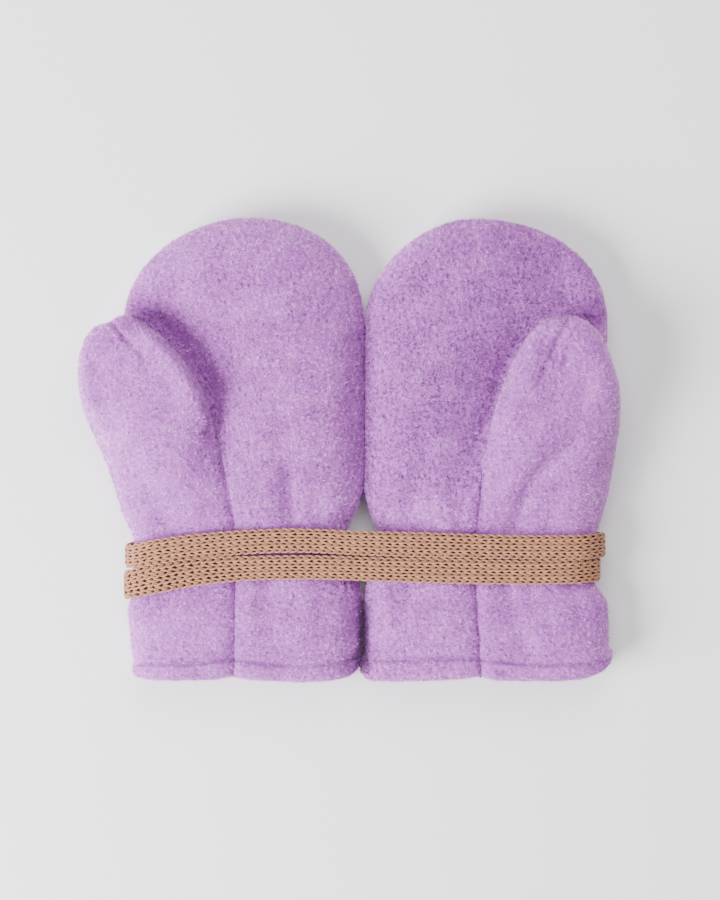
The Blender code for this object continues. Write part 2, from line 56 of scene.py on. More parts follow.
MM = 0.001
UPPER_PANELS = ["left_palm", "left_thumb_front", "right_palm", "right_thumb_front"]
PANELS = ["left_back", "right_back"] + UPPER_PANELS

# %% [markdown]
# ## The camera
#
# A garment laid flat is best seen from straight above, so the camera looks down along Z. A long lens far away
# would do, and so would an orthographic one. The long lens is chosen, because it still shows a little depth.

# %% The camera
LENS = 100.0                 # millimetres, on a sensor 36 mm high
SENSOR = 36.0
VIEW_HEIGHT = 261 * MM       # what the picture's height covers at the side seams
SEAM_HEIGHT = 10 * MM
VIEW_CENTRE = (3.0 * MM, 0.0)


def add_object(name, data):
    """A new object in the scene."""
    made = bpy.data.objects.new(name, data)
    bpy.context.scene.collection.objects.link(made)
    return made


camera_data = bpy.data.cameras.new("camera")
camera_data.lens = LENS
camera_data.sensor_width = SENSOR
camera = add_object("camera", camera_data)
camera_height = SEAM_HEIGHT + VIEW_HEIGHT * LENS / SENSOR
camera.location = (*VIEW_CENTRE, camera_height)
bpy.context.scene.camera = camera
print(f"camera {camera_height:.3f} m above the surface")

# %% [markdown]
# ## The cord's route
#
# The cord is sewn to the back of one wrist, goes twice round both wrists and ends on the back of the
# other. Its middle line is a smooth curve through points given in millimetres, as in the frame's
# own source. A curve object with a bevel could follow it, but it would be a plain tube. Here the points
# only carry the stitches.

# %% The cord's route
CORD_ROUTE = [
    (-33.0, -26.6, 1.5), (-45.0, -27.4, 1.5), (-55.5, -28.8, 1.7), (-61.2, -29.6, 3.9),
    (-64.1, -30.0, 8.4), (-62.3, -30.0, 12.7), (-56.0, -29.6, 15.3), (-44.0, -28.1, 15.9),
    (-28.0, -26.5, 15.9), (-13.0, -26.1, 15.9), (3.5, -26.8, 15.9), (22.0, -27.3, 15.9),
    (45.0, -27.9, 15.9), (64.5, -28.0, 15.3), (71.2, -27.6, 12.7), (73.1, -27.4, 8.4),
    (70.2, -27.5, 3.9), (64.0, -27.9, 1.7), (46.0, -29.3, 1.5), (25.0, -31.2, 1.5),
    (2.0, -33.2, 1.5), (-20.0, -35.4, 1.5), (-42.0, -37.7, 1.5), (-55.5, -38.9, 1.7),
    (-61.4, -39.2, 3.9), (-64.4, -39.2, 8.4), (-62.6, -38.8, 12.7), (-56.0, -37.5, 15.3),
    (-44.0, -35.5, 15.9), (-28.0, -34.1, 15.9), (-10.0, -33.8, 15.9), (8.0, -34.3, 15.9),
    (28.0, -34.8, 15.9), (50.0, -35.2, 15.9), (63.2, -35.0, 15.3), (69.8, -34.6, 12.7),
    (71.7, -34.5, 8.4), (68.8, -34.8, 3.9), (62.0, -35.8, 1.7), (37.0, -38.9, 1.5),
]


def through(points, per_span):
    """Points on a smooth curve through the given ones: a Catmull-Rom spline."""
    points = np.asarray(points, float)
    line = np.vstack([2 * points[0] - points[1], points, 2 * points[-1] - points[-2]])
    made = []
    for before, start, end, after in zip(line, line[1:], line[2:], line[3:]):
        bend = 2 * before - 5 * start + 4 * end - after
        twist = 3 * start - before - 3 * end + after
        for share in np.arange(per_span) / per_span:
            made.append(start + 0.5 * ((end - before) * share + bend * share**2 + twist * share**3))
    return np.array(made + [points[-1]])


def unit(vectors):
    return vectors / np.linalg.norm(vectors, axis=-1, keepdims=True)


PER_SPAN = 12
path = through(CORD_ROUTE, PER_SPAN) * MM
path_at = np.concatenate([[0], np.cumsum(np.linalg.norm(np.diff(path, axis=0), axis=1))])
cord_length = float(path_at[-1])
path_ahead = unit(np.gradient(path, axis=0))
path_across = unit(np.array([0, 1, 0]) - path_ahead * path_ahead[:, 1:2])
path_out = np.cross(path_ahead, path_across)
print(f"cord: {cord_length:.3f} m along {len(CORD_ROUTE)} route points")

# %% [markdown]
# ## Following the route
#
# A flat cord has two flat sides and round edges. One helper gives a place on its route and the ways across
# and out there, and another wraps a distance across the front round the section. Parented frames along a
# curve object could do it too, but plain arrays are easier to bend. The cord doesn't lie quite even, so a
# table widens it or shifts it aside a little, most of all where the second turn comes up
# round the left wrist.

# %% Following the route
HALF_FLAT = 2.3 * MM         # half of the flat of the section
EDGE_RADIUS = 0.75 * MM      # its round edges, at the middle of the strands
LIES = [                     # route point, how much wider the cord lies there, how far aside and up in mm
    (0, 1.03, 0, 0), (3, 1.03, -0.2, 0), (4, 1.0, -0.6, 0), (5, 1.0, -0.7, 0), (6, 1.08, 0.3, 0),
    (7, 1.07, 0.4, 0), (8, 1.04, 0.1, 0), (10, 1.03, 0, 0), (11, 1.08, 0, 0), (12, 1.03, 0, 0),
    (13, 1.05, 0, 0), (24, 1.05, 0, 0), (25, 1.2, 0, 0), (26, 1.27, 0.2, 0.2), (27, 1.33, 0.5, 0.45),
    (28, 1.20, 0.5, 0.4), (29, 1.04, 0.1, 0), (31, 1.03, 0, 0), (32, 1.08, 0, 0), (33, 1.03, 0, 0),
    (34, 1.05, 0, 0), (39, 1.03, 0, 0),
]


def on_path(at):
    """The place, the ways across and out, and how much wider the cord lies, at given lengths."""
    at = np.clip(at, 0, cord_length)
    place, across, out = [
        np.stack([np.interp(at, path_at, values[:, axis]) for axis in range(3)], -1)
        for values in (path, path_across, path_out)
    ]
    number, wider, aside, up = np.transpose(LIES)
    route_point = np.interp(at, path_at[::PER_SPAN], np.arange(len(CORD_ROUTE)))
    wider, aside, up = [np.interp(route_point, number, value)[:, None] for value in (wider, aside, up)]
    return place + (aside * across + up * out) * MM, across, out, wider


def on_section(across, height):
    """Wraps a distance across the front round the flat section. Returns its two offsets and its normal."""
    over = np.maximum(abs(across) - HALF_FLAT, 0) / EDGE_RADIUS
    normal = np.stack([np.sign(across) * np.sin(over), np.cos(over)], -1)
    middle = np.clip(across, -HALF_FLAT, HALF_FLAT)
    offset = np.stack([middle, np.zeros_like(middle)], -1)
    return offset + (EDGE_RADIUS + height)[..., None] * normal, normal


print(f"section: {2 * (HALF_FLAT + EDGE_RADIUS) / MM:.1f} by {2 * EDGE_RADIUS / MM:.1f} mm between strands")

# %% [markdown]
# ## Strands as tubes
#
# Yarn and thread are round, so each strand is a tube: a ring of points stands round every point of its
# middle line. Thousands of separate objects would be slow, so all the tubes of a piece go into one mesh.

# %% Strands as tubes


def tube(line, out, radius, sides):
    """The rings of a tube along a line. out is a way that points sideways from it."""
    ahead = unit(np.gradient(line, axis=0))
    side = unit(np.cross(ahead, out))
    up = np.cross(side, ahead)
    turn = np.linspace(0, 2 * math.pi, sides, endpoint=False)
    ring = np.cos(turn)[:, None, None] * side + np.sin(turn)[:, None, None] * up
    return (line + radius * ring).transpose(1, 0, 2)


def mesh_of_rings(sets_of_rings):
    """Vertices and faces of many closed tubes in one mesh. Each set has the shape rings, sides, 3."""
    points, faces = [], []
    count = 0
    for rings in sets_of_rings:
        number, sides = rings.shape[:2]
        at = count + np.arange(number * sides).reshape(number, sides)
        after = np.roll(at, -1, axis=1)
        walls = np.stack([at[:-1], after[:-1], after[1:], at[1:]], -1).reshape(-1, 4)
        faces += walls.tolist() + [at[0][::-1].tolist(), at[-1].tolist()]
        points.append(rings.reshape(-1, 3))
        count += number * sides
    return np.vstack(points), faces


def new_piece(name, points, faces):
    data = bpy.data.meshes.new(name)
    data.from_pydata(np.asarray(points).tolist(), [], faces)
    data.shade_smooth()
    return add_object(name, data)


def triangles(piece):
    piece.data.calc_loop_triangles()
    return len(piece.data.loop_triangles)


print("rings, sides and axes of a short tube:", tube(path[:3], path_out[:3], MM, 5).shape)

# %% [markdown]
# ## Knitting the cord
#
# Plain knitting is made of courses. Each course is one strand that waves up and down through the loops of
# the course before it, and on the front only the legs of its loops show, as columns of V. Three short
# formulas give such a strand: it steps sideways, it swings along the cord, and it dips in and out twice
# for each loop. No two loops pull alike, so the swing, the lean and the dip vary along a strand. The
# courses are laid one after the other along the route, and each strand is wrapped round the section.
# Between the wrists the inner face can be seen as well, and it gets courses of its own.

# %% Knitting the cord
WALES = 4                    # columns of V across the front, round both edges
STITCH = 2.28 * MM           # from one course to the next
SWAY = 0.47 * MM             # how far a loop's legs lean sideways
SWING = 1.9 * MM             # how far a loop reaches along the cord
DIP = 0.30 * MM              # how far its legs stand out over its ends
STRAND = 0.295 * MM          # the strand's radius
STRAND_SIDES = 5
STEPS_PER_WALE = 12
UNEVEN_KNIT = 0.09           # how much the loops differ from each other
KNIT_SEED = 5
BARE = (-7 * MM, 14 * MM)    # where the inner face shows too


def course(start, random, face=1):
    """The middle line of one strand, and the way out from the cord at each of its points."""
    wales = WALES if face == 1 else WALES - 1
    turn = np.linspace(0, 2 * math.pi * wales, wales * STEPS_PER_WALE + 1)
    wale = (2 * HALF_FLAT + math.pi * EDGE_RADIUS) / WALES
    slack = 1 + UNEVEN_KNIT * random.normal(size=2 * wales + 1)
    loose = np.interp(turn, np.linspace(0, turn[-1], len(slack)), slack)
    across = (turn / (2 * math.pi) - wales / 2) * wale + SWAY * loose * np.sin(2 * turn)
    place, side, out, wider = on_path(start + SWING * loose * np.cos(turn))
    offset, normal = on_section(across, -DIP * loose * np.cos(2 * turn))
    line = place + offset[:, :1] * wider * side + face * offset[:, 1:] * out
    return line, normal[:, :1] * side + face * normal[:, 1:] * out


starts = np.arange(SWING, cord_length - SWING, STITCH)
tension = np.random.default_rng(KNIT_SEED)
strands = [tube(*course(start, tension), STRAND, STRAND_SIDES) for start in starts]
start_x = on_path(starts)[0][:, 0]
bare = starts[(start_x > BARE[0]) & (start_x < BARE[1])]
strands += [tube(*course(start, tension, face=-1), STRAND, STRAND_SIDES) for start in bare]
cord = new_piece("knitted_cord", *mesh_of_rings(strands))
print(f"cord: {len(starts)} courses of {WALES} loops, {triangles(cord)} triangles")

# %% [markdown]
# ## The cord's core
#
# The strands leave small holes. Behind them lies the back of the knit, which never gets any light, so a
# plain flat core is enough there. It is a little smaller than the section, and a piece of its own with a
# finish painted nearly black, as shade.

# %% The cord's core
CORE_IN = 0.10 * MM          # how far the core lies inside the middle of the strands
CORE_SIDES = 12
CORE_STEP = 1.5 * MM
FULLNESS = 0.7               # below 1 the section is fuller than an ellipse


def fuller(wave):
    return np.sign(wave) * abs(wave) ** FULLNESS


core_turn = np.linspace(0, 2 * math.pi, CORE_SIDES, endpoint=False)
core_wide = (HALF_FLAT + EDGE_RADIUS - CORE_IN) * fuller(np.cos(core_turn))
core_thick = (EDGE_RADIUS - CORE_IN) * fuller(np.sin(core_turn))
core_place, core_side, core_out, core_wider = on_path(np.arange(0, cord_length, CORE_STEP))
core_rings = (
    core_place[:, None]
    + core_wider[:, None] * core_wide[None, :, None] * core_side[:, None]
    + core_thick[None, :, None] * core_out[:, None]
)
core = new_piece("cord_core", *mesh_of_rings([core_rings]))
print(f"core: {triangles(core)} triangles")

# %% [markdown]
# ## The ends of the cord
#
# Each end of the cord is held to the back of a wrist by a tight zigzag of its own yarn. It is one more
# tube, laid to and fro across the cord, and it dips into the knit at both edges.

# %% The ends of the cord
TACK_STEPS = 11              # how often the zigzag crosses its own middle
TACK_LONG = 0.8 * MM         # half its length along the cord
TACK_WIDE = HALF_FLAT + 0.9 * EDGE_RADIUS
TACK_ARCH = 0.12 * MM        # how much its turns stand up
TACK_FROM_END = 2.1 * MM
TACK_YARN = 0.20 * MM
TACK_SIDES = 6


def tack(at):
    """The rings of one zigzag across the cord, at a length along the route."""
    turn = np.linspace(0, 1, TACK_STEPS * TACK_SIDES + 1)
    sway = np.arcsin(np.sin(turn * TACK_STEPS * math.pi)) * 2 / math.pi
    place, side, out, wider = on_path(at + TACK_LONG * sway)
    offset, normal = on_section((2 * turn - 1) * TACK_WIDE, STRAND + TACK_ARCH * abs(sway))
    line = place + offset[:, :1] * wider * side + offset[:, 1:] * out
    return tube(line, normal[:, :1] * side + normal[:, 1:] * out, TACK_YARN, TACK_SIDES)


tack_rings = [tack(TACK_FROM_END), tack(cord_length - TACK_FROM_END)]
tacks = new_piece("cord_tacks", *mesh_of_rings(tack_rings))
print(f"tacks: {len(tack_rings)}, {triangles(tacks)} triangles")

# %% [markdown]
# ## From the frame's walls to soft cloth
#
# The frame gives each panel as a closed wall in few flat triangles. A cloth needs a smooth face and edges
# that roll over into the seams. The form could be worked out again from its sections. It is quicker, and
# stays true to the frame, to join the triangles back into quads and subdivide them. The edges along the
# seams get a crease weight, so that they turn over within about a millimetre and don't round off the
# whole panel.

# %% From the frame's walls to soft cloth
MERGE = 0.001 * MM
SEAM_ANGLE = math.radians(58)    # an edge sharper than this is a seam
SEAM_CREASE = 0.45           # sharp for two of the three rounds of subdivision
ROUNDS = {"left_back": 2, "right_back": 2}
MOST_ROUNDS = 3


def quads_of(node):
    """A copy of a frame node with its corners merged, its triangles in pairs and its seam edges creased."""
    mesh = bmesh.new()
    mesh.from_mesh(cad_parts[node].data)
    bmesh.ops.remove_doubles(mesh, verts=mesh.verts, dist=MERGE)
    bmesh.ops.join_triangles(
        mesh, faces=mesh.faces, angle_face_threshold=SEAM_ANGLE, angle_shape_threshold=math.pi
    )
    crease = mesh.edges.layers.float.new("crease_edge")
    for edge in mesh.edges:
        if len(edge.link_faces) == 2 and edge.calc_face_angle() > SEAM_ANGLE:
            edge[crease] = SEAM_CREASE
    data = bpy.data.meshes.new(node + "_cloth")
    mesh.to_mesh(data)
    mesh.free()
    for stale in ("custom_normal", "sharp_face", "sharp_edge"):
        if stale in data.attributes:
            data.attributes.remove(data.attributes[stale])
    return data


def soft_shell(node):
    """The panel as a new piece, subdivided, with its modifier applied."""
    shell = add_object(node + "_cloth", quads_of(node))
    smooth = shell.modifiers.new("smooth", "SUBSURF")
    smooth.levels = smooth.render_levels = ROUNDS.get(node, MOST_ROUNDS)
    seen = shell.evaluated_get(bpy.context.evaluated_depsgraph_get())
    data = bpy.data.meshes.new_from_object(seen)
    shell.modifiers.clear()
    shell.data = data
    shell.data.name = shell.name
    data.materials.clear()
    data.shade_smooth()
    return shell


cloths = {node: soft_shell(node) for node in PANELS}
for node, shell in cloths.items():
    share = sum(len(face.vertices) == 4 for face in shell.data.polygons) / len(shell.data.polygons)
    print(f"{shell.name}: {triangles(shell)} triangles, quads {share:.2f}")

# %% [markdown]
# ## Creases
#
# Boiled wool is thick, so it takes few creases, and they are soft. Simulated cloth would give more and
# thinner ones. Each crease here is a short listed line, with its width and depth, and the cloth
# sinks along it in the shape of a bell curve. All the panels on the upper side share one set, so that
# their seams stay shut. The fronts of the thumbs have some of their own.

# %% Creases
UPPER_CREASES = [            # a line in millimetres, its width and depth; a negative depth makes a ridge
    ([(-20.5, 14), (-18, -3), (-17, -12)], 6.0, 0.45),
    ([(-17.5, -6), (-16.2, -24)], 4.5, 0.95),
    ([(-24, -12), (-23, -25)], 5.0, -0.35),
    ([(-62.5, -6), (-54, -17), (-52, -24)], 7.0, 0.75),
    ([(-45, -14), (-44, -25)], 6.0, -0.3),
    ([(-8, -14), (-9, -24)], 5.0, 0.3),
    ([(-23.5, -37), (-23, -55)], 5.5, 0.6),
    ([(-29, -38), (-29, -54)], 4.5, -0.35),
    ([(-12, -38), (-12.5, -56)], 6.0, -0.4),
    ([(-17, -40), (-17, -48)], 4.0, 0.25),
    ([(-40, -40), (-41, -52)], 5.0, 0.35),
    ([(-52, -38), (-54, -47)], 6.0, 0.4),
    ([(21.4, 2), (19, -12), (16.6, -24)], 6.5, 0.75),
    ([(27, -9), (27.5, -24)], 6.0, -0.3),
    ([(31.5, -13), (32, -25)], 4.5, 0.35),
    ([(64, 2), (57, -4), (51.4, -10.5), (47.5, -23)], 4.8, 1.15),
    ([(60, -15), (57, -25)], 5.0, 0.4),
    ([(67, -14), (65, -25)], 5.0, -0.3),
    ([(45.7, -38), (47.6, -50), (50.5, -56)], 5.0, 0.8),
    ([(40.5, -38), (41, -52)], 4.0, -0.3),
    ([(52, -38), (53.5, -46)], 4.0, 0.35),
    ([(17, -39), (15, -49)], 6.0, 0.45),
    ([(28, -38), (28.5, -55)], 6.0, -0.35),
    ([(64, -37), (67, -52)], 6.0, 0.4),
    ([(4.2, 38), (4.2, -18)], 10.0, 1.7),
    ([(4.0, -42), (4.0, -64)], 8.0, 1.3),
    ([(5.0, -61.5), (2.0, -61.5), (0.5, -62)], 3.0, 1.1),
]
THUMB_CREASES = [
    ([(-69.5, 38.6), (-67.8, 36.4), (-65.2, 33.2), (-61.7, 29.6)], 1.6, 0.85),
    ([(-59.4, 27.8), (-58.2, 25.0), (-57.5, 21.8)], 1.7, 0.45),
    ([(-64.8, 35.6), (-61, 31.5)], 2.4, -0.15),
    ([(-63.8, 25.5), (-63.2, 20)], 3.5, 0.35),
    ([(-70, 14), (-66, 4)], 5.0, 0.35),
    ([(-52, 12), (-50, 2)], 6.0, 0.35),
    ([(62.2, 36.4), (59.3, 31.2), (57.6, 26.6)], 1.9, 1.1),
    ([(62.2, 26.4), (61.2, 23.6)], 2.2, 0.75),
    ([(55.4, 22.4), (54.4, 19.6)], 2.2, 0.6),
    ([(68.2, 22), (66, 12)], 4.5, 0.45),
    ([(50, 14), (48.5, 4)], 5.5, 0.35),
]
UNDER_CREASES = [
    ([(-22, -12), (-24, 6), (-22, 18)], 7.0, 0.5),
    ([(-46, -14), (-50, 2)], 6.0, 0.6),
    ([(-57, 16), (-52, 26)], 6.0, 0.4),
    ([(-12, -14), (-10, -4)], 5.0, 0.5),
    ([(-30, -46), (-28, -58)], 6.0, 0.45),
    ([(-50, -47), (-52, -60)], 5.0, 0.4),
    ([(20, -13), (24, 4), (23, 12)], 7.0, 0.55),
    ([(44, -14), (48, -1)], 5.5, 0.6),
    ([(62, -13), (65, 4)], 6.0, 0.45),
    ([(33, 30), (38, 44)], 8.0, 0.35),
    ([(30, -46), (29, -60)], 6.0, 0.45),
    ([(56, -47), (60, -60)], 6.0, 0.5),
]


def crease_depth(x, y, table):
    """How far the cloth sinks at each place, in millimetres."""
    depth = np.zeros_like(x)
    place = np.stack([x, y], -1)
    for points, width, deepest in table:
        line = np.array(points, float)
        near = np.full(len(x), np.inf)
        for start, end in zip(line, line[1:]):
            along = end - start
            share = np.clip((place - start) @ along / (along @ along), 0, 1)
            near = np.minimum(near, np.linalg.norm(place - start - share[:, None] * along, axis=1))
        depth += deepest * np.exp(-((near / (width / 2)) ** 2))
    return depth


print(f"creases: {len(UPPER_CREASES)} above, {len(THUMB_CREASES)} on the thumbs, {len(UNDER_CREASES)} below")

# %% [markdown]
# ## Folded thumbs
#
# Each thumb lies folded over its palm. Its cloth rolls up thick beside the edge, and next to it the palm
# sinks into a valley that is deep at the edge and runs out over a centimetre or two. The frame has only
# the plain step between the two. Both forms depend on how far a point is from the thumb's edge. The palm
# takes it from a listed line, and the thumb from its own outline, measured in many directions.

# %% Folded thumbs
THUMB_EDGES = {              # on the side of the palm, from the tip to the crotch
    "left": [
        (-70, 40.5), (-61, 39.5), (-57.9, 37.3), (-49.7, 29.1), (-43.4, 19), (-39.6, 8.8), (-38.4, 3),
    ],
    "right": [(72, 40.5), (62.8, 39.5), (55.2, 34.9), (49.4, 27.7), (45.1, 19), (41.6, 8.8), (39.3, 1)],
}
PALM_SIDE = {"left": 1, "right": -1}
VALLEYS = [                  # the hand, how deep, how wide at the tip and at the crotch
    ("left", 2.1, 14, 5), ("left", 1.4, 5, 3), ("right", 2.9, 26, 15), ("right", 0.8, 5, 3),
]
VALLEY_WALL = 0.8            # over what distance a valley gets deep at the thumb's edge
THUMB_MIDDLES = {"left_thumb_front": (-60, 14), "right_thumb_front": (59, 12)}
ROLLS = {                    # how high the cloth stands beside the edge, over what it rises and falls off
    "left_thumb_front": (4.4, 0.35, 5.6), "right_thumb_front": (3.5, 0.40, 9.0),
}
ROLL_GROWS = [(4, 0), (12, 0.9), (20, 1), (29, 1), (38, 0.8)]    # y, and how much of the roll there is
ROLL_ABOVE = (0.5, 1.3)      # how far above the seam the roll starts, and over what height it is whole
RIM = 1.5                    # a point this near the outline belongs to it
WAYS = 180                   # the thumb's outline is measured in this many directions


def valley_depth(x, y):
    """How far the palm sinks beside the folded thumb: quickly at the thumb's edge, then less and less."""
    depth = np.zeros_like(x)
    place = np.stack([x, y], -1)
    for hand, deepest, at_tip, at_crotch in VALLEYS:
        line = np.array(THUMB_EDGES[hand], float)
        near, width, beyond = np.full(len(x), np.inf), np.ones(len(x)), np.zeros(len(x), bool)
        grown = np.zeros(len(x))
        for number, (start, end) in enumerate(zip(line, line[1:])):
            ahead = end - start
            share = np.clip((place - start) @ ahead / (ahead @ ahead), 0, 1)
            off = place - start - share[:, None] * ahead
            away = np.linalg.norm(off, axis=1)
            closer = away < near
            near = np.where(closer, away, near)
            far = (number + share) / (len(line) - 1)
            width = np.where(closer, at_tip + (at_crotch - at_tip) * far, width)
            grown = np.where(closer, np.clip(number + share, 0, 1), grown)
            aside = ahead[0] * off[:, 1] - ahead[1] * off[:, 0]
            beyond = np.where(closer, aside * PALM_SIDE[hand] > 0, beyond)
        deep = grown * deepest * (1 - np.exp(-near / VALLEY_WALL)) * np.exp(-((near / width) ** 2))
        depth += np.where(beyond, deep, 0)
    return depth


def from_table(at, table):
    """What a table of places and values says at other places, in straight lines between its rows."""
    return np.interp(at, *np.transpose(table))


def roll_height(x, y, z, node):
    """How much more the thumb's front stands up near its edge. The edge itself stays on its seam."""
    middle_x, middle_y = THUMB_MIDDLES[node]
    away = np.hypot(x - middle_x, y - middle_y)
    turn = np.arctan2(y - middle_y, x - middle_x)
    way = ((turn / (2 * math.pi) + 0.5) * WAYS).astype(int) % WAYS
    reach, lowest = np.zeros(WAYS), np.full(WAYS, np.inf)
    np.maximum.at(reach, way, away)
    at_rim = away > reach[way] - RIM
    np.minimum.at(lowest, way[at_rim], z[at_rim])
    at = ((np.arange(WAYS) + 0.5) / WAYS - 0.5) * 2 * math.pi
    inside = np.maximum(np.interp(turn, at, reach, period=2 * math.pi) - away, 0)
    seam = np.interp(turn, at, lowest, period=2 * math.pi)
    start, whole = ROLL_ABOVE
    above_seam = np.clip((z - seam - start) / whole, 0, 1)
    height, rise, fall = ROLLS[node]
    grown = from_table(y, ROLL_GROWS) * above_seam
    return height * (1 - np.exp(-inside / rise)) * np.exp(-((inside / fall) ** 2)) * grown


print("rolls in millimetres:", {node: roll[0] for node, roll in ROLLS.items()})

# %% [markdown]
# ## Seams and uneven wool
#
# A seam lies in a trough, because its stitches draw the thick cloth in. Felted wool is also never quite
# even: it rises and falls over a few centimetres, and has small lumps. A modifier with a cloud texture
# could give that. Two sums of sine waves are used instead. The slow rise and fall fades out towards the
# side seams, where the cloth is held, together with the creases, the valleys and the troughs; the small
# lumps don't.

# %% Seams and uneven wool
SEAM_ABOVE_CORD = {          # between the palm and the thumb's front
    "left": [(-38.7, 4), (-35.2, -14.4), (-33.5, -23)],
    "right": [(39.0, 1), (37.8, -17.3), (36.7, -26)],
}
SEAM_BELOW_CORD = {
    "left": [(-33.2, -30), (-33.2, -43), (-33.8, -67)],
    "right": [(36.7, -32), (36.7, -43), (38.1, -67)],
}
SEAM_TROUGHS = []            # below the cord a broad one with a narrow one in its middle
for hand, below in SEAM_BELOW_CORD.items():
    SEAM_TROUGHS += [(SEAM_ABOVE_CORD[hand], 1.7, 0.75), (below, 5.0, 0.4), (below, 2.0, 0.55)]
DENT = (-70.0, 38.6, 0.5, -1.35, 3.0)    # where the left thumb's seam is drawn in: place, move and reach
MEETING = (4.2, 0.3, 5.0)    # where the mittens nearly touch: x, how far each leans over, over what width
UNEVEN = 0.16                # millimetres, how much the wool rises and falls
UNEVEN_WAVES = (14, 8, 30)   # how many waves, the shortest and the longest, millimetres
UNEVEN_SEEDS = {"below": 3, "above": 5}
LUMPS = 0.10                 # millimetres
LUMP_WAVES = (0.9, 2.4)
LUMP_SEED = 21               # and the next two, for the other axes
SIDE_SEAM = 8.2              # its height
SEAM_FADE = 4.5              # over what height the creases fade out towards it
HELD_BELOW = 0.6             # how much of the cloth the seam holds still
HELD_ABOVE = 0.2
THUMB_TOP = (15.5, 3.0)      # the thumb's own creases: from what height, and over what they deepen
THUMB_FROM = (-2, 6)         # the same for y
OFF_FLOOR = 0.02


def unevenness(x, y, seed):
    """A gentle rise and fall: the sum of waves that run every way."""
    random = np.random.default_rng(seed)
    total = np.zeros_like(x)
    number, shortest, longest = UNEVEN_WAVES
    for _ in range(number):
        way = random.uniform(0, 2 * math.pi)
        length = random.uniform(shortest, longest)
        shift = random.uniform(0, 6.3)       # about one turn
        total += np.sin((x * math.cos(way) + y * math.sin(way)) * 2 * math.pi / length + shift)
    return total / 4                         # near the square root of their number


def waves(places, seed, shortest, longest, number=16):
    """A slow pattern through space, from about -1 to 1: the sum of waves that run every way."""
    random = np.random.default_rng(seed)
    total = np.zeros(len(places))
    for _ in range(number):
        way = random.normal(size=3)
        turn = places @ (way / np.linalg.norm(way)) * 2 * math.pi / random.uniform(shortest, longest)
        total += np.sin(turn + random.uniform(0, 2 * math.pi))
    return total / math.sqrt(number)


def points_of(piece):
    flat = np.empty(len(piece.data.vertices) * 3, np.float32)
    piece.data.vertices.foreach_get("co", flat)
    return flat.reshape(-1, 3).astype(float)


def set_points(piece, points):
    piece.data.vertices.foreach_set("co", points.astype(np.float32).ravel())
    piece.data.update()


def free_of_seam(node, z):
    """How freely the cloth moves: 0 on the side seam and 1 well away from it."""
    if node.endswith("back"):
        return np.clip((SIDE_SEAM - HELD_BELOW - z) / SEAM_FADE, 0, 1)
    return np.clip((z - SIDE_SEAM - HELD_ABOVE) / SEAM_FADE, 0, 1)


def crease(node, shell):
    points = points_of(shell) / MM
    x, y, z = points.T
    free = free_of_seam(node, z)
    if node.endswith("back"):
        uneven = np.maximum(unevenness(x, y, UNEVEN_SEEDS["below"]), 0)
        lift = crease_depth(x, y, UNDER_CREASES) + uneven * UNEVEN
    else:
        uneven = unevenness(x, y, UNEVEN_SEEDS["above"])
        lift = uneven * UNEVEN - crease_depth(x, y, UPPER_CREASES + SEAM_TROUGHS)
    if node.endswith("thumb_front"):
        on_thumb = np.clip((z - THUMB_TOP[0]) / THUMB_TOP[1], 0, 1)
        on_thumb = on_thumb * np.clip((y - THUMB_FROM[0]) / THUMB_FROM[1], 0, 1)
        lift = lift - crease_depth(x, y, THUMB_CREASES) * on_thumb
        rolled = roll_height(x, y, z, node)
    if node.endswith("palm"):
        lift = lift - valley_depth(x, y)
    place = points.copy()
    points[:, 2] += lift * free
    if node.endswith("thumb_front"):
        points[:, 2] += rolled
    dent_x, dent_y, move_x, move_y, reach = DENT
    share = np.exp(-((x - dent_x) ** 2 + (y - dent_y) ** 2) / reach**2)
    points[:, 0] += move_x * share
    points[:, 1] += move_y * share
    meet_x, lean, width = MEETING
    points[:, 0] += (lean if node.startswith("left") else -lean) * np.exp(-(((x - meet_x) / width) ** 2))
    for axis in range(3):
        points[:, axis] += LUMPS * waves(place, LUMP_SEED + axis, *LUMP_WAVES)
    points[:, 2] = np.maximum(points[:, 2], OFF_FLOOR)
    set_points(shell, points * MM)
    lowered, raised = -(lift * free).min(), (lift * free).max()
    print(f"{shell.name}: lowered by up to {lowered:.2f} mm, raised by {raised:.2f}")


for node, shell in cloths.items():
    crease(node, shell)

# %% [markdown]
# ## The corners of the hem
#
# The frame rounds the lower corners generously. On the real pair the turned-in cloth is stiff there, so
# three of them are nearly square and the fourth bulges out. New cross-sections would do it too, but a
# stretch is simpler: the outline is measured slice by slice, and the cloth is stretched sideways from the
# middle of its mitten until the outline follows a short table.

# %% The corners of the hem
CORNERS = {                  # the middle of the mitten, then (y, x) along its two lower sides, millimetres
    "left": (-29.5, [
        [(-58.5, None), (-60, -62.9), (-61, -62.7), (-62, -63.1), (-63.5, -63.3), (-65, -63.3),
         (-66, -62.9), (-66.7, -62.0), (-67.4, -60.5)],
        [(-58.5, None), (-60, 3.4), (-62, 3.1), (-64, 2.6), (-65.5, 2.3), (-66.4, 2.0), (-67.4, 1.0)],
    ]),
    "right": (40.5, [
        [(-58.5, None), (-60, 4.2), (-62, 3.9), (-64, 3.3), (-65.5, 2.9), (-66.4, 2.7), (-67.0, 3.1),
         (-67.4, 4.3)],
        [(-55.5, None), (-56.8, 75.0), (-58.4, 76.3), (-59.6, 76.5), (-61.6, 75.9), (-63.4, 74.6),
         (-64.5, 73.1), (-66.0, 70.0), (-66.9, 66.0)],
    ]),
}
OUTLINE_AT = np.arange(-67.5, -54, 0.25)     # the outline is measured at each of these y
OUTLINE_SLICE = 0.6                          # from the points this near


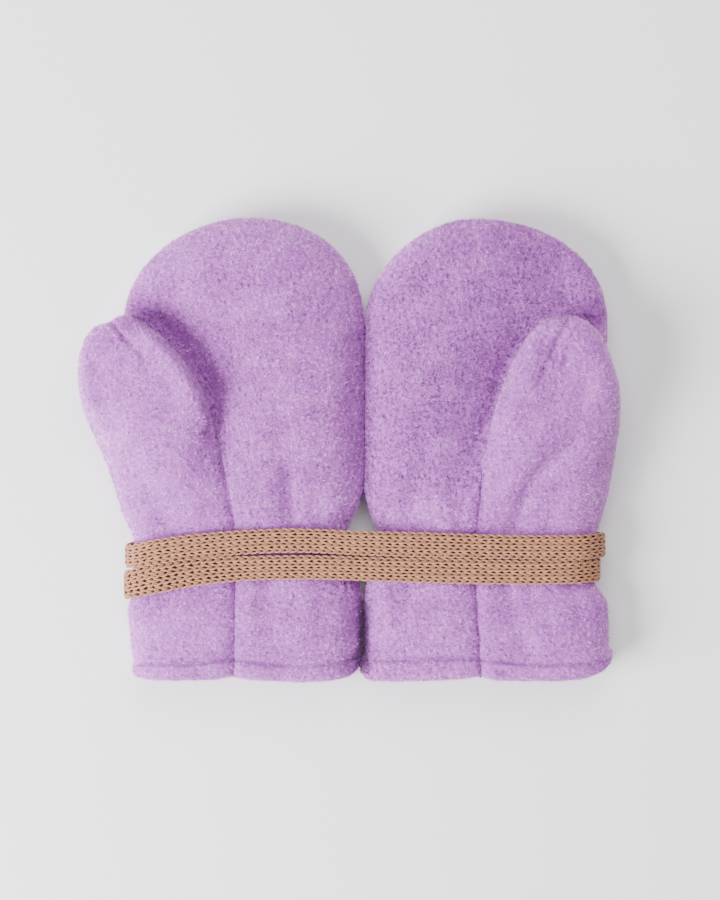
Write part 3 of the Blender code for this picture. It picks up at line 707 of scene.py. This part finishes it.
def square_corners(hand):
    middle, sides = CORNERS[hand]
    shells = [cloths[hand + end] for end in ("_back", "_palm", "_thumb_front")]
    every = np.vstack([points_of(shell) for shell in shells]) / MM
    for sign, table in zip((-1, 1), sides):
        inside = (every[:, 0] - middle) * sign
        reach = [inside[abs(every[:, 1] - y) < OUTLINE_SLICE].max() for y in OUTLINE_AT]
        first = table[0][0]
        wanted_at = [y for y, _ in table][::-1]
        wanted = [(x - middle) * sign for _, x in table[:0:-1]] + [np.interp(first, OUTLINE_AT, reach)]
        for shell in shells:
            points = points_of(shell) / MM
            x, y, _ = points.T
            now = np.interp(y, OUTLINE_AT, reach)
            goal = np.where(y > first, now, np.interp(y, wanted_at, wanted))
            share = np.clip((x - middle) * sign / now, 0, None)
            points[:, 0] += sign * (goal - now) * share**3      # nearly all of it close to the side
            set_points(shell, points * MM)


for hand in ("left", "right"):
    square_corners(hand)
print("corners squared for:", list(CORNERS))

# %% [markdown]
# ## The hem
#
# The mouth of each mitten is turned in and stitched once, so a shallow groove runs along it. Between the
# stitches and the seams the edge isn't straight. It is drawn up at the seam, where four layers meet. A
# sculpted hem would do, but plain moves of the points are enough, worked out from short tables: one for
# the groove, one for the edge.

# %% The hem
HEM_GROOVE = (1.35, 1.15)    # width and depth, millimetres
HEM_LINES = [
    [(-63, -62.2), (-48, -61.8), (-38, -60.9), (-33, -60.4), (-25, -61.6), (-18, -62.3), (-8, -61.9),
     (3, -60.6)],
    [(6, -60.4), (20, -60.6), (32, -60.0), (38, -60.4), (46, -61.3), (58, -62.0), (68, -61.7),
     (76, -60.9)],
]
EDGE_LIFT = [                # x, and how far the edge is drawn up, millimetres
    (-64, 0.6), (-50, 0.5), (-40, 0.7), (-33.8, 1.5), (-28, 0.6), (-15, 0.0), (-6, 0.3), (3, 1.8),
    (6, 0.2), (20, 0.3), (32, 0.9), (37.5, 1.5), (43, 0.5), (55, 0.3), (77, 0.3),
]
LIFT_FROM = (-60.0, -66.0)   # where the lift starts, and where it is whole


def hem(node, shell):
    points = points_of(shell) / MM
    x, y, z = points.T
    groove = crease_depth(x, y, [(line, *HEM_GROOVE) for line in HEM_LINES])
    points[:, 2] += (groove if node.endswith("back") else -groove) * free_of_seam(node, z)
    start, whole = LIFT_FROM
    share = np.clip((y - start) / (whole - start), 0, 1)
    points[:, 1] += from_table(x, EDGE_LIFT) * share * share * (3 - 2 * share)    # with a soft start
    set_points(shell, points * MM)


for node, shell in cloths.items():
    hem(node, shell)
print("hem stitched at y =", [line[0][1] for line in HEM_LINES])

# %% [markdown]
# ## Drawing the seams together
#
# The frame leaves room between the palm and the thumb's front, because its solids may not touch. On the
# real mitten the stitches pull the two edges against each other, and the soft sides of the two mittens
# press together as well. So each point near such a line looks for the nearest cloth on the other side and
# moves half of the way to it, less the further off that is. The crotch of the thumb opens widest, so it
# is drawn together three more times.

# %% Drawing the seams together
SEAM_LEFT_OPEN = 0.04        # millimetres on each side
SEAM_BAND = (12.0, 0.2)      # points count as near a line within this bell's width, above this share of it
SEAM_PULLS = [               # y, within what distance the cloth moves fully and not at all, and how much
    (-70, 1.3, 3.6, 1), (-12, 1.3, 3.6, 1), (-5, 2.6, 4.9, 1), (4, 2.6, 4.9, 1), (5, 2.4, 4.7, 1),
    (9, 1.3, 3.6, 0),
]
CROTCH_PULLS = [(-8, 2.0, 4.0, 0), (-4, 2.0, 4.0, 1), (5, 2.0, 4.0, 1), (8, 2.0, 4.0, 0)]
MEETING_LINE = [(4.2, 45), (4.2, -68)]
MEETING_PULLS = [
    (-67.5, 1.0, 2.6, 0.5), (-66, 1.0, 2.6, 1), (-46, 1.0, 2.6, 1), (-41, 1.0, 2.6, 0), (-18, 1.0, 2.6, 0),
    (-8, 1.0, 2.6, 1), (30, 1.0, 2.6, 1), (44, 1.0, 2.6, 0),
]


def tree_of(pieces):
    """One tree of faces for several pieces, in which rays can be cast and near points found."""
    points, faces, count = [], [], 0
    for piece in pieces:
        points.append(points_of(piece))
        faces += [[corner + count for corner in face.vertices] for face in piece.data.polygons]
        count += len(piece.data.vertices)
    return BVHTree.FromPolygons(np.vstack(points).tolist(), faces)


def pull_to(shell, other_tree, line, pulls):
    """Half the way from each point near the line to the cloth on the other side of it."""
    points = points_of(shell)
    x, y = points[:, 0] / MM, points[:, 1] / MM
    at, *columns = np.transpose(pulls)
    whole, none, most = [np.interp(y, at, column) for column in columns]
    width, least = SEAM_BAND
    beside = (crease_depth(x, y, [(line, width, 1.0)]) > least) & (most > 0)
    moved = np.zeros_like(points)
    for number in np.nonzero(beside)[0]:
        found, _, _, away = other_tree.find_nearest(Vector(points[number]), none[number] * MM)
        if found is None or away < 2 * SEAM_LEFT_OPEN * MM:
            continue
        nearness = np.clip((none[number] - away / MM) / (none[number] - whole[number]), 0, 1) ** 2
        reach = min(away, whole[number] * MM) - 2 * SEAM_LEFT_OPEN * MM
        moved[number] = (np.array(found) - points[number]) / away * reach / 2 * nearness * most[number]
    return moved


def draw_together(ones, others, line, pulls):
    """Moves two groups of shells against each other along a line."""
    one_tree, other_tree = tree_of(ones), tree_of(others)
    moves = [(shell, pull_to(shell, other_tree, line, pulls)) for shell in ones]
    moves += [(shell, pull_to(shell, one_tree, line, pulls)) for shell in others]
    for shell, moved in moves:
        set_points(shell, points_of(shell) + moved)
    return max(abs(moved).max() for _, moved in moves) / MM


for hand in ("left", "right"):
    palm, front = [cloths[hand + "_palm"]], [cloths[hand + "_thumb_front"]]
    seam = THUMB_EDGES[hand][-2:-1] + SEAM_ABOVE_CORD[hand] + SEAM_BELOW_CORD[hand][1:]
    for pulls in (SEAM_PULLS, CROTCH_PULLS, CROTCH_PULLS, CROTCH_PULLS):
        most = draw_together(palm, front, seam, pulls)
        print(f"{hand} thumb seam: the cloth moved by up to {most:.2f} mm")
pair = [[cloths[hand + end] for end in ("_palm", "_back")] for hand in ("left", "right")]
print(f"between the mittens: up to {draw_together(*pair, MEETING_LINE, MEETING_PULLS):.2f} mm")

# %% [markdown]
# ## Stitches
#
# A single row of thread holds the hem. The stitches lie sunk in the groove, with short gaps where the
# thread goes through the cloth. They are laid along the same lines as the groove, and a ray finds the
# cloth under each one.

# %% Stitches
THREAD = 0.17 * MM
THREAD_SIDES = 6
HEM_STITCH = (2.1 * MM, 2.9 * MM)    # the length of a stitch, and from one to the next
HEM_MARGIN = 4 * MM                  # no stitches this near the ends of a line
STITCH_POINTS = 7
STITCH_RISE = 0.22                   # millimetres, how much the middle of a stitch stands up
SUNK = 0.14 * MM
RAY_FROM = 0.05                      # metres above or below the surface


def along(line, lengths):
    """Points at given lengths along a line of corners in x and y."""
    at = np.concatenate([[0], np.cumsum(np.linalg.norm(np.diff(line, axis=0), axis=1))])
    return np.stack([np.interp(lengths, at, line[:, 0]), np.interp(lengths, at, line[:, 1])], -1)


def hem_stitches(line, tree, over):
    """Rings for the stitches on one hem line. over is 1 on the upper side and -1 below."""
    line = np.array(line) * MM
    length, pitch = HEM_STITCH
    whole = np.linalg.norm(np.diff(line, axis=0), axis=1).sum()
    rings = []
    for start in np.arange(HEM_MARGIN, whole - HEM_MARGIN, pitch):
        spots = along(line, np.linspace(start, start + length, STITCH_POINTS))
        lift = np.sin(np.linspace(0, math.pi, STITCH_POINTS)) * STITCH_RISE * MM
        laid = []
        for (x, y), rise in zip(spots, lift):
            found = tree.ray_cast(Vector((x, y, RAY_FROM * over)), Vector((0, 0, -over)))[0]
            if found is not None:
                laid.append((x, y, found.z + over * (rise - SUNK)))
        if len(laid) == STITCH_POINTS:
            rings.append(tube(np.array(laid), np.array([0, 0, 1.0]), THREAD, THREAD_SIDES))
    return rings


upper_tree = tree_of([cloths[node] for node in UPPER_PANELS])
under_tree = tree_of([cloths["left_back"], cloths["right_back"]])
hem_rings = [ring for line in HEM_LINES for ring in hem_stitches(line, upper_tree, 1)]
hem_rings += [ring for line in HEM_LINES for ring in hem_stitches(line, under_tree, -1)]
hem_thread = new_piece("hem_thread", *mesh_of_rings(hem_rings))
print(f"hem: {len(hem_rings)} stitches, {triangles(hem_thread)} triangles")

# %% [markdown]
# ## Where the nap can grow
#
# Between two layers the nap is pressed flat and can't be seen. So fibres grow only on faces that are open
# to the air: a ray straight out or straight up from the face meets nothing of the pair for a while. A
# third ray, outwards and a little down, tells the outer sides of the pair from the walls of its folds.

# %% Where the nap can grow
AIR = 22 * MM                # a face is open if nothing lies this near
RAY_START = 0.25             # millimetres off the cloth
OUTWARD_FALL = 0.5           # how steeply the outward ray falls
LOOKS_UP = 0.1               # the least rise of the normal of a face that looks up


def open_faces(shell, tree):
    """Which faces have nothing close in front of them or above them, and which are on an outer side."""
    number = len(shell.data.polygons)
    centres, normals = np.empty(number * 3), np.empty(number * 3)
    shell.data.polygons.foreach_get("center", centres)
    shell.data.polygons.foreach_get("normal", normals)
    centres, normals = centres.reshape(-1, 3), normals.reshape(-1, 3)
    starts = [Vector(start) for start in centres + normals * RAY_START * MM]

    def clear(ways):
        found = [tree.ray_cast(start, Vector(way), AIR)[0] for start, way in zip(starts, ways)]
        return np.array([place is None for place in found])

    level = np.hypot(normals[:, 0], normals[:, 1]) + 1e-6    # never quite 0
    outwards = unit(np.column_stack([normals[:, :2], -OUTWARD_FALL * level]))
    above = clear([(0, 0, 1)] * number) & (normals[:, 2] > LOOKS_UP)
    return clear(normals) | above, clear(outwards)


whole_tree = tree_of(list(cloths.values()) + [core])
open_on = {node: open_faces(cloths[node], whole_tree) for node in PANELS}
print("open:", {node: f"{is_open.mean():.2f}" for node, (is_open, _) in open_on.items()})

# %% [markdown]
# ## The nap
#
# Boiling mats the wool, and brushing raises a short fuzz on it. A hair system would make the fibres at
# render time, but it isn't a mesh. So each fibre here is one slender triangle: its root is picked at
# random on the cloth, more fibres on larger faces, and it leans any way at a low angle. Six plain tints,
# picked by a slow pattern with some chance, make the wool's mottled look. The tints also carry painted
# light and shade: paler tints are painted on the upright outer sides as rim light, and darker ones as shade
# in the gap between the mittens, along the seams, beside the folded thumbs and on the upper right palm.

# %% The nap
FIBRES = {"palm": 104_000, "thumb_front": 54_000, "back": 56_000}
FIBRE_LENGTH = (0.42 * MM, 1.00 * MM)
FIBRE_WIDTH = (0.11 * MM, 0.19 * MM)
FIBRE_ANGLE = (4, 38)        # degrees off the cloth
ROOT_IN = 0.03               # millimetres
ABOVE_FLOOR = 0.05 * MM
FIRST_SEED = 11              # and the next ones, for the other panels
TUFTS = (0.9 * MM, 2.6 * MM)     # the shortest and longest waves by which neighbours lean alike
TUFT_SEED = 31
TUFTED = 1.3                 # how much that decides, against chance
TINTS = 6
MIDDLE_TINT = 3
CLOUDS = [                   # how many tints, the seed, the shortest and longest wave, how many waves
    (0.5, 7, 5 * MM, 26 * MM, 16), (1.15, 8, 0.7 * MM, 1.8 * MM, 40),
]
CHANCE = 1.15                # how many tints chance adds or takes
PAINTED_RIM_LIGHT = (6.5, 0.02, 0.42)      # painted rim light: paler tints for each unit of slope on the outer sides, from what to what
PAINTED_SHADE_LINES = [              # painted shade in the gap between the mittens and along the seams: lines, width, and how many tints darker
    ([(4.2, 38), (4.2, -18)], 5.0, 1.6),
    ([(4.0, -45), (4.0, -58), (3.6, -62.5)], 3.6, 5.5),
    ([(4.6, -63.5), (3.4, -60.5), (2.0, -59.8)], 3.4, 3.0),
    (SEAM_ABOVE_CORD["left"], 1.3, 1.3),
    (SEAM_BELOW_CORD["left"], 1.3, 0.8),
    (SEAM_ABOVE_CORD["right"], 1.3, 1.2),
    (SEAM_BELOW_CORD["right"], 1.3, 0.8),
]
PAINTED_THUMB_SHADOWS = {              # painted shadow beside the folded thumbs
    "left_palm": [(THUMB_EDGES["left"][1:], 6.0, 1.5), (THUMB_EDGES["left"][1:5], 19.0, 0.7)],
    "right_palm": [(THUMB_EDGES["right"][2:], 10.0, 0.5), (THUMB_EDGES["right"][2:], 36.0, 0.45)],
}
PAINTED_PALM_SHADE = {"right_palm": [(-24, 0), (-4, 1.1)]}    # painted shade on the upper part of the right palm: y, and how many tints darker


def tint_of(node, root, normal, outer, random):
    """Which tint each fibre has."""
    cloud = sum(tints * waves(root, seed, *lengths) for tints, seed, *lengths in CLOUDS)
    cloud += CHANCE * random.normal(size=len(root))
    # paler tints painted on the upright outer sides, as rim light
    tints, start, whole = PAINTED_RIM_LIGHT
    cloud += tints * outer * np.clip(1 - abs(normal[:, 2]) - start, 0, whole)
    # darker tints painted as shade: in the gap between the mittens, along the seams, beside the thumbs and on
    # the upper right palm
    if not node.endswith("back"):
        x, y = root[:, 0] / MM, root[:, 1] / MM
        cloud -= crease_depth(x, y, PAINTED_SHADE_LINES + PAINTED_THUMB_SHADOWS.get(node, []))
        if node in PAINTED_PALM_SHADE:
            cloud -= from_table(y, PAINTED_PALM_SHADE[node])
    return np.clip(np.round(cloud + MIDDLE_TINT), 0, TINTS - 1).astype(int)


def grow(node, seed):
    """The corners of a panel's fibres, their tints, and the area that they grow on."""
    random = np.random.default_rng(seed)
    shell = cloths[node]
    is_open, is_outer = open_on[node]
    shell.data.calc_loop_triangles()
    number = len(shell.data.loop_triangles)
    corners, face = np.empty(number * 3, np.int32), np.empty(number, np.int32)
    shell.data.loop_triangles.foreach_get("vertices", corners)
    shell.data.loop_triangles.foreach_get("polygon_index", face)
    a, b, c = points_of(shell)[corners.reshape(-1, 3)[is_open[face]]].transpose(1, 0, 2)
    cross = np.cross(b - a, c - a)
    area = np.linalg.norm(cross, axis=1)
    picked = random.choice(len(area), FIBRES[node.split("_", 1)[1]], p=area / area.sum())
    u, v = random.random((2, len(picked), 1))
    over = u + v > 1
    u, v = np.where(over, 1 - u, u), np.where(over, 1 - v, v)
    root = a[picked] + u * (b - a)[picked] + v * (c - a)[picked]
    normal = unit(cross[picked])
    tuft = np.stack([waves(root, TUFT_SEED + axis, *TUFTS) for axis in range(3)], -1)
    lean = unit(np.cross(normal, random.normal(size=(len(picked), 3)) + TUFTED * tuft))
    angle = np.radians(random.uniform(*FIBRE_ANGLE, (len(picked), 1)))
    length = random.uniform(*FIBRE_LENGTH, (len(picked), 1))
    tip = root + length * (np.cos(angle) * lean + np.sin(angle) * normal)
    root = root - normal * ROOT_IN * MM
    for ends in (root, tip):
        ends[:, 2] = np.maximum(ends[:, 2], ABOVE_FLOOR)
    wide = np.cross(normal, lean) * random.uniform(*FIBRE_WIDTH, (len(picked), 1)) / 2
    tint = tint_of(node, root, normal, is_outer[face][is_open[face]][picked], random)
    return np.stack([root - wide, root + wide, tip], 1), tint, area.sum() / 2


def mesh_of_triangles(name, corners, slots):
    number = len(corners)
    data = bpy.data.meshes.new(name)
    data.vertices.add(number * 3)
    data.vertices.foreach_set("co", corners.astype(np.float32).ravel())
    data.loops.add(number * 3)
    data.loops.foreach_set("vertex_index", np.arange(number * 3, dtype=np.int32))
    data.polygons.add(number)
    data.polygons.foreach_set("loop_start", np.arange(0, number * 3, 3, dtype=np.int32))
    data.polygons.foreach_set("material_index", slots.astype(np.int32))
    data.update(calc_edges=True)
    return add_object(name, data)


naps = {}
for seed, node in enumerate(PANELS, start=FIRST_SEED):
    fibres, slots, open_area = grow(node, seed)
    naps[node] = mesh_of_triangles(node + "_nap", fibres, slots)
    print(f"{naps[node].name}: {len(fibres)} fibres on {open_area * 1e6:.0f} square millimetres")

# %% [markdown]
# ## A small language for finishes
#
# A material is a tree of nodes. Written one node at a time it soon gets long, so one class wraps a
# socket. A sum or a product of wrapped sockets adds the Math nodes, and `make` adds any other node.

# %% A small language for finishes


class Value:
    """A number that changes over the surface: one output socket of a node."""

    def __init__(self, finish, socket):
        self.finish = finish
        self.socket = socket

    def math(self, operation, first, second):
        return self.finish.make("ShaderNodeMath", {"operation": operation}, {0: first, 1: second})

    def __add__(self, other):
        return self.math("ADD", self, other)

    def __sub__(self, other):
        return self.math("SUBTRACT", self, other)

    def __rsub__(self, other):
        return self.math("SUBTRACT", other, self)

    def __mul__(self, other):
        return self.math("MULTIPLY", self, other)

    def __truediv__(self, other):
        return self.math("DIVIDE", self, other)

    def __rtruediv__(self, other):
        return self.math("DIVIDE", other, self)

    __radd__ = __add__
    __rmul__ = __mul__


class Finish:
    """A material, and the means to add nodes to it."""

    def __init__(self, name):
        self.material = bpy.data.materials.new(name)
        self.material.use_nodes = True
        self.nodes = self.material.node_tree.nodes
        self.links = self.material.node_tree.links
        self.shader = self.nodes["Principled BSDF"]

    def give(self, node, sockets):
        for key, value in sockets.items():
            if isinstance(value, Value):
                self.links.new(value.socket, node.inputs[key])
            else:
                node.inputs[key].default_value = value

    def make(self, kind, settings=None, sockets=None, output=0):
        node = self.nodes.new(kind)
        for name, value in (settings or {}).items():
            setattr(node, name, value)
        self.give(node, sockets or {})
        return Value(self, node.outputs[output])

    def place(self):
        return self.make("ShaderNodeTexCoord", output="Object")

    def noise(self, scale, detail=3.0, roughness=0.55, distortion=0.0):
        sockets = {
            "Vector": self.place(), "Scale": scale, "Detail": detail,
            "Roughness": roughness, "Distortion": distortion,
        }
        return self.make("ShaderNodeTexNoise", {"noise_dimensions": "3D"}, sockets)

    def blend(self, amount, first, second):
        """A mix of two colours. Its colour sockets are numbers 6 and 7, and its colour output is 2."""
        sockets = {0: amount, 6: (*first, 1) if isinstance(first, tuple) else first, 7: (*second, 1)}
        return self.make("ShaderNodeMix", {"data_type": "RGBA"}, sockets, output=2)

    def bump(self, height, strength, distance):
        sockets = {"Height": height, "Strength": strength, "Distance": distance}
        return self.make("ShaderNodeBump", {}, sockets)


print("finishes can be made of any node, and their values take + - * /")

# %% [markdown]
# ## The wool's finish
#
# Under the nap the matted wool is painted a little darker, as shade among the fibres. Two noises give it
# clouds a few millimetres wide and a fine grain, and the grain is also a bump. Between the cuffs, which
# press on each other, painted shade makes the wool much darker: a mask made of the distance from the
# middle of that gap mixes the dark in, because plain light would leave it pale. The sheen is the bloom
# that loose fibres give to a cloth seen at a low angle. It is the same everywhere, so it is set on the
# shader itself.

# %% The wool's finish
# both ends are painted a little darker than the nap, as shade among the fibres
WOOL_SHADE = (0.285, 0.068, 0.390)
WOOL_LIGHT = (0.530, 0.155, 0.615)
# the painted shade between the cuffs, and where it lies
PAINTED_GAP_SHADE = (0.090, 0.034, 0.106)
GAP_MIDDLE = (4.0 * MM, -54.2 * MM)
GAP_HALF = (1.8 * MM, 9.4 * MM)      # across and along
GAP_FROM = 6 * MM                    # the height from which it is dark, and over what height it gets so
GAP_FADE = 2 * MM
WOOL_CLOUDS = (150, 0.6)             # the scale of a noise, and its share in the colour
WOOL_GRAIN = (1100, 0.7)
DARKER = 0.15                        # what is taken off the sum of the shares
WOOL_BUMP = (0.6, 0.35 * MM)         # strength and depth
WOOL_SHEEN = 0.5


def fibrous(finish, sheen):
    finish.give(finish.shader, {
        "Roughness": 0.92, "Specular IOR Level": 0.15, "Sheen Weight": sheen, "Sheen Roughness": 0.4,
        "Sheen Tint": (1.0, 0.80, 0.97, 1),
    })


wool = Finish("wool_cloth")
fibrous(wool, WOOL_SHEEN)
clouds = wool.noise(WOOL_CLOUDS[0], detail=2)
grain = wool.noise(WOOL_GRAIN[0], detail=4, roughness=0.7, distortion=1.2)
wool_tone = clouds * WOOL_CLOUDS[1] + grain * WOOL_GRAIN[1] - DARKER
wool_colour = wool.blend(wool_tone, WOOL_SHADE, WOOL_LIGHT)
place_x, place_y, place_z = [
    wool.make("ShaderNodeSeparateXYZ", {}, {"Vector": wool.place()}, output=axis) for axis in "XYZ"
]
# painted shade between the cuffs: a mask from the distance to the middle of the gap, above the side seam
across_gap = (place_x - GAP_MIDDLE[0]) / GAP_HALF[0]
along_gap = (place_y - GAP_MIDDLE[1]) / GAP_HALF[1]
across_gap, along_gap = across_gap * across_gap, along_gap * along_gap
above_seam = wool.make(
    "ShaderNodeMath", {"operation": "DIVIDE", "use_clamp": True}, {0: place_z - GAP_FROM, 1: GAP_FADE}
)
gap_shade_mask = above_seam / (across_gap * across_gap + along_gap * along_gap * along_gap + 1)
wool_colour = wool.blend(gap_shade_mask, wool_colour, PAINTED_GAP_SHADE)
wool.give(wool.shader, {"Base Color": wool_colour, "Normal": wool.bump(grain, *WOOL_BUMP)})

for node in PANELS:
    cloths[node].data.materials.append(wool.material)
print("wool finish:", wool.material.name, "on", len(PANELS), "panels")

# %% [markdown]
# ## The nap's tints and the thread
#
# The fibres are too fine for a pattern of their own, so each tint is one plain colour, from the painted
# shade of the folds and gaps to the painted light of the rims. The darkest has hardly any sheen, or the
# painted shade would not stay dark. The thread is dyed to match the wool, and a fine noise stands for its
# twist.

# %% The nap's tints and the thread
# from the darkest, which carries painted shade, to the palest, which carries painted rim light
NAP_TINTS = [
    (0.085, 0.032, 0.100),
    (0.185, 0.066, 0.215),
    (0.370, 0.090, 0.440),
    (0.550, 0.155, 0.612),
    (0.700, 0.245, 0.745),
    (0.850, 0.415, 0.865),
]
NAP_SHEEN = 0.45
DARKEST_SHEEN = 0.1
THREAD_SHADE = (0.30, 0.14, 0.42)
THREAD_LIGHT = (0.42, 0.22, 0.54)
THREAD_TWIST = 4000

nap_materials = []
for number, colour in enumerate(NAP_TINTS):
    nap = Finish(f"wool_nap_{number}")
    fibrous(nap, NAP_SHEEN if number else DARKEST_SHEEN)
    nap.give(nap.shader, {"Base Color": (*colour, 1)})
    nap_materials.append(nap.material)

thread = Finish("sewing_thread")
thread_colour = thread.blend(thread.noise(THREAD_TWIST, detail=1), THREAD_SHADE, THREAD_LIGHT)
thread.give(thread.shader, {"Base Color": thread_colour, "Roughness": 0.7})

for node in PANELS:
    for material in nap_materials:
        naps[node].data.materials.append(material)
hem_thread.data.materials.append(thread.material)
print("nap finishes:", [material.name for material in nap_materials])

# %% [markdown]
# ## The cord's finish
#
# The yarn is smooth and tightly twisted, so it has a soft gloss. Its strands are real geometry, so a plain
# noise is enough for the slight unevenness in colour, and a finer one is the bump of its twist. The core
# behind the stitches is painted nearly black as shade, because hardly any light gets there.

# %% The cord's finish
YARN_SHADE = (0.240, 0.098, 0.050)
YARN_LIGHT = (0.555, 0.260, 0.146)
# the core's colours, painted nearly black as shade
CORE_SHADE = (0.030, 0.010, 0.006)
CORE_LIGHT = (0.055, 0.020, 0.012)
CORE_GRAIN = 900
YARN_TONE = (420, 0.8)       # scale and share, as for the wool
YARN_TWIST = (3200, 0.5)
YARN_BUMP = (0.35, 0.1 * MM)

yarn = Finish("knitted_yarn")
twist = yarn.noise(YARN_TWIST[0], detail=2)
yarn_tone = yarn.noise(YARN_TONE[0], detail=3) * YARN_TONE[1] + twist * YARN_TWIST[1] - DARKER
yarn_colour = yarn.blend(yarn_tone, YARN_SHADE, YARN_LIGHT)
yarn.give(yarn.shader, {
    "Base Color": yarn_colour, "Roughness": 0.62, "Specular IOR Level": 0.35, "Sheen Weight": 0.15,
    "Normal": yarn.bump(twist, *YARN_BUMP),
})
behind = Finish("behind_the_stitches")
behind_colour = behind.blend(behind.noise(CORE_GRAIN, detail=2), CORE_SHADE, CORE_LIGHT)
behind.give(behind.shader, {"Base Color": behind_colour, "Roughness": 0.95, "Specular IOR Level": 0.1})
cord.data.materials.append(yarn.material)
core.data.materials.append(behind.material)
tacks.data.materials.append(yarn.material)
print("cord finishes:", yarn.material.name, behind.material.name)

# %% [markdown]
# ## Floor and light
#
# The pair lies on a plain pale floor. A soft light stands low to the left, so that the cloth shows its
# folds, and a larger one hangs beyond the fingertips and lightens their far sides. An even pale surround
# fills the shadows. Soft lights suit wool: hard ones would show every fibre.

# %% Floor and light
FLOOR = 3.0
FLOOR_COLOUR = (0.93, 0.93, 0.93)
LIGHTS = {                   # the place, the size in metres and the power in watts
    "key": ((-0.60, -0.28, 0.44), 0.50, 21),
    "fill": ((0.10, 0.62, 0.98), 1.10, 15),
}
SURROUND = 0.42

floor_data = bpy.data.meshes.new("floor")
floor_corners = [(-FLOOR, -FLOOR, 0), (FLOOR, -FLOOR, 0), (FLOOR, FLOOR, 0), (-FLOOR, FLOOR, 0)]
floor_data.from_pydata(floor_corners, [], [(0, 1, 2, 3)])
floor = add_object("floor", floor_data)
floor_finish = Finish("floor")
floor_finish.give(floor_finish.shader, {"Base Color": (*FLOOR_COLOUR, 1), "Roughness": 0.9})
floor_data.materials.append(floor_finish.material)


def soft_light(name, place, size, power):
    """A square light that looks at the middle of the pair."""
    data = bpy.data.lights.new(name, "AREA")
    data.size = size
    data.energy = power
    light = add_object(name, data)
    light.location = place
    light.rotation_euler = (-Vector(place)).to_track_quat("-Z", "Y").to_euler()


for name, light in LIGHTS.items():
    soft_light(name, *light)
surround = bpy.data.worlds.new("surround")
surround.use_nodes = True
surround.node_tree.nodes["Background"].inputs["Color"].default_value = (1, 1, 1, 1)
surround.node_tree.nodes["Background"].inputs["Strength"].default_value = SURROUND
bpy.context.scene.world = surround
print("lights:", list(LIGHTS), "and the surround")

# %% [markdown]
# ## Handing the pieces over
#
# Every piece rides on the one body and has a finish. The panels and the cord take the place of their
# solids in the frame, which are hidden.

for node, shell in cloths.items():
    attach(shell, "root")
    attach(naps[node], "root")
    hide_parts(node)

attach(hem_thread, "root")
for piece in (cord, core, tacks):
    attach(piece, "root")
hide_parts("cord")
print("handed over:", 2 * len(cloths), "pieces of cloth and nap, the hem thread and 3 pieces of cord")
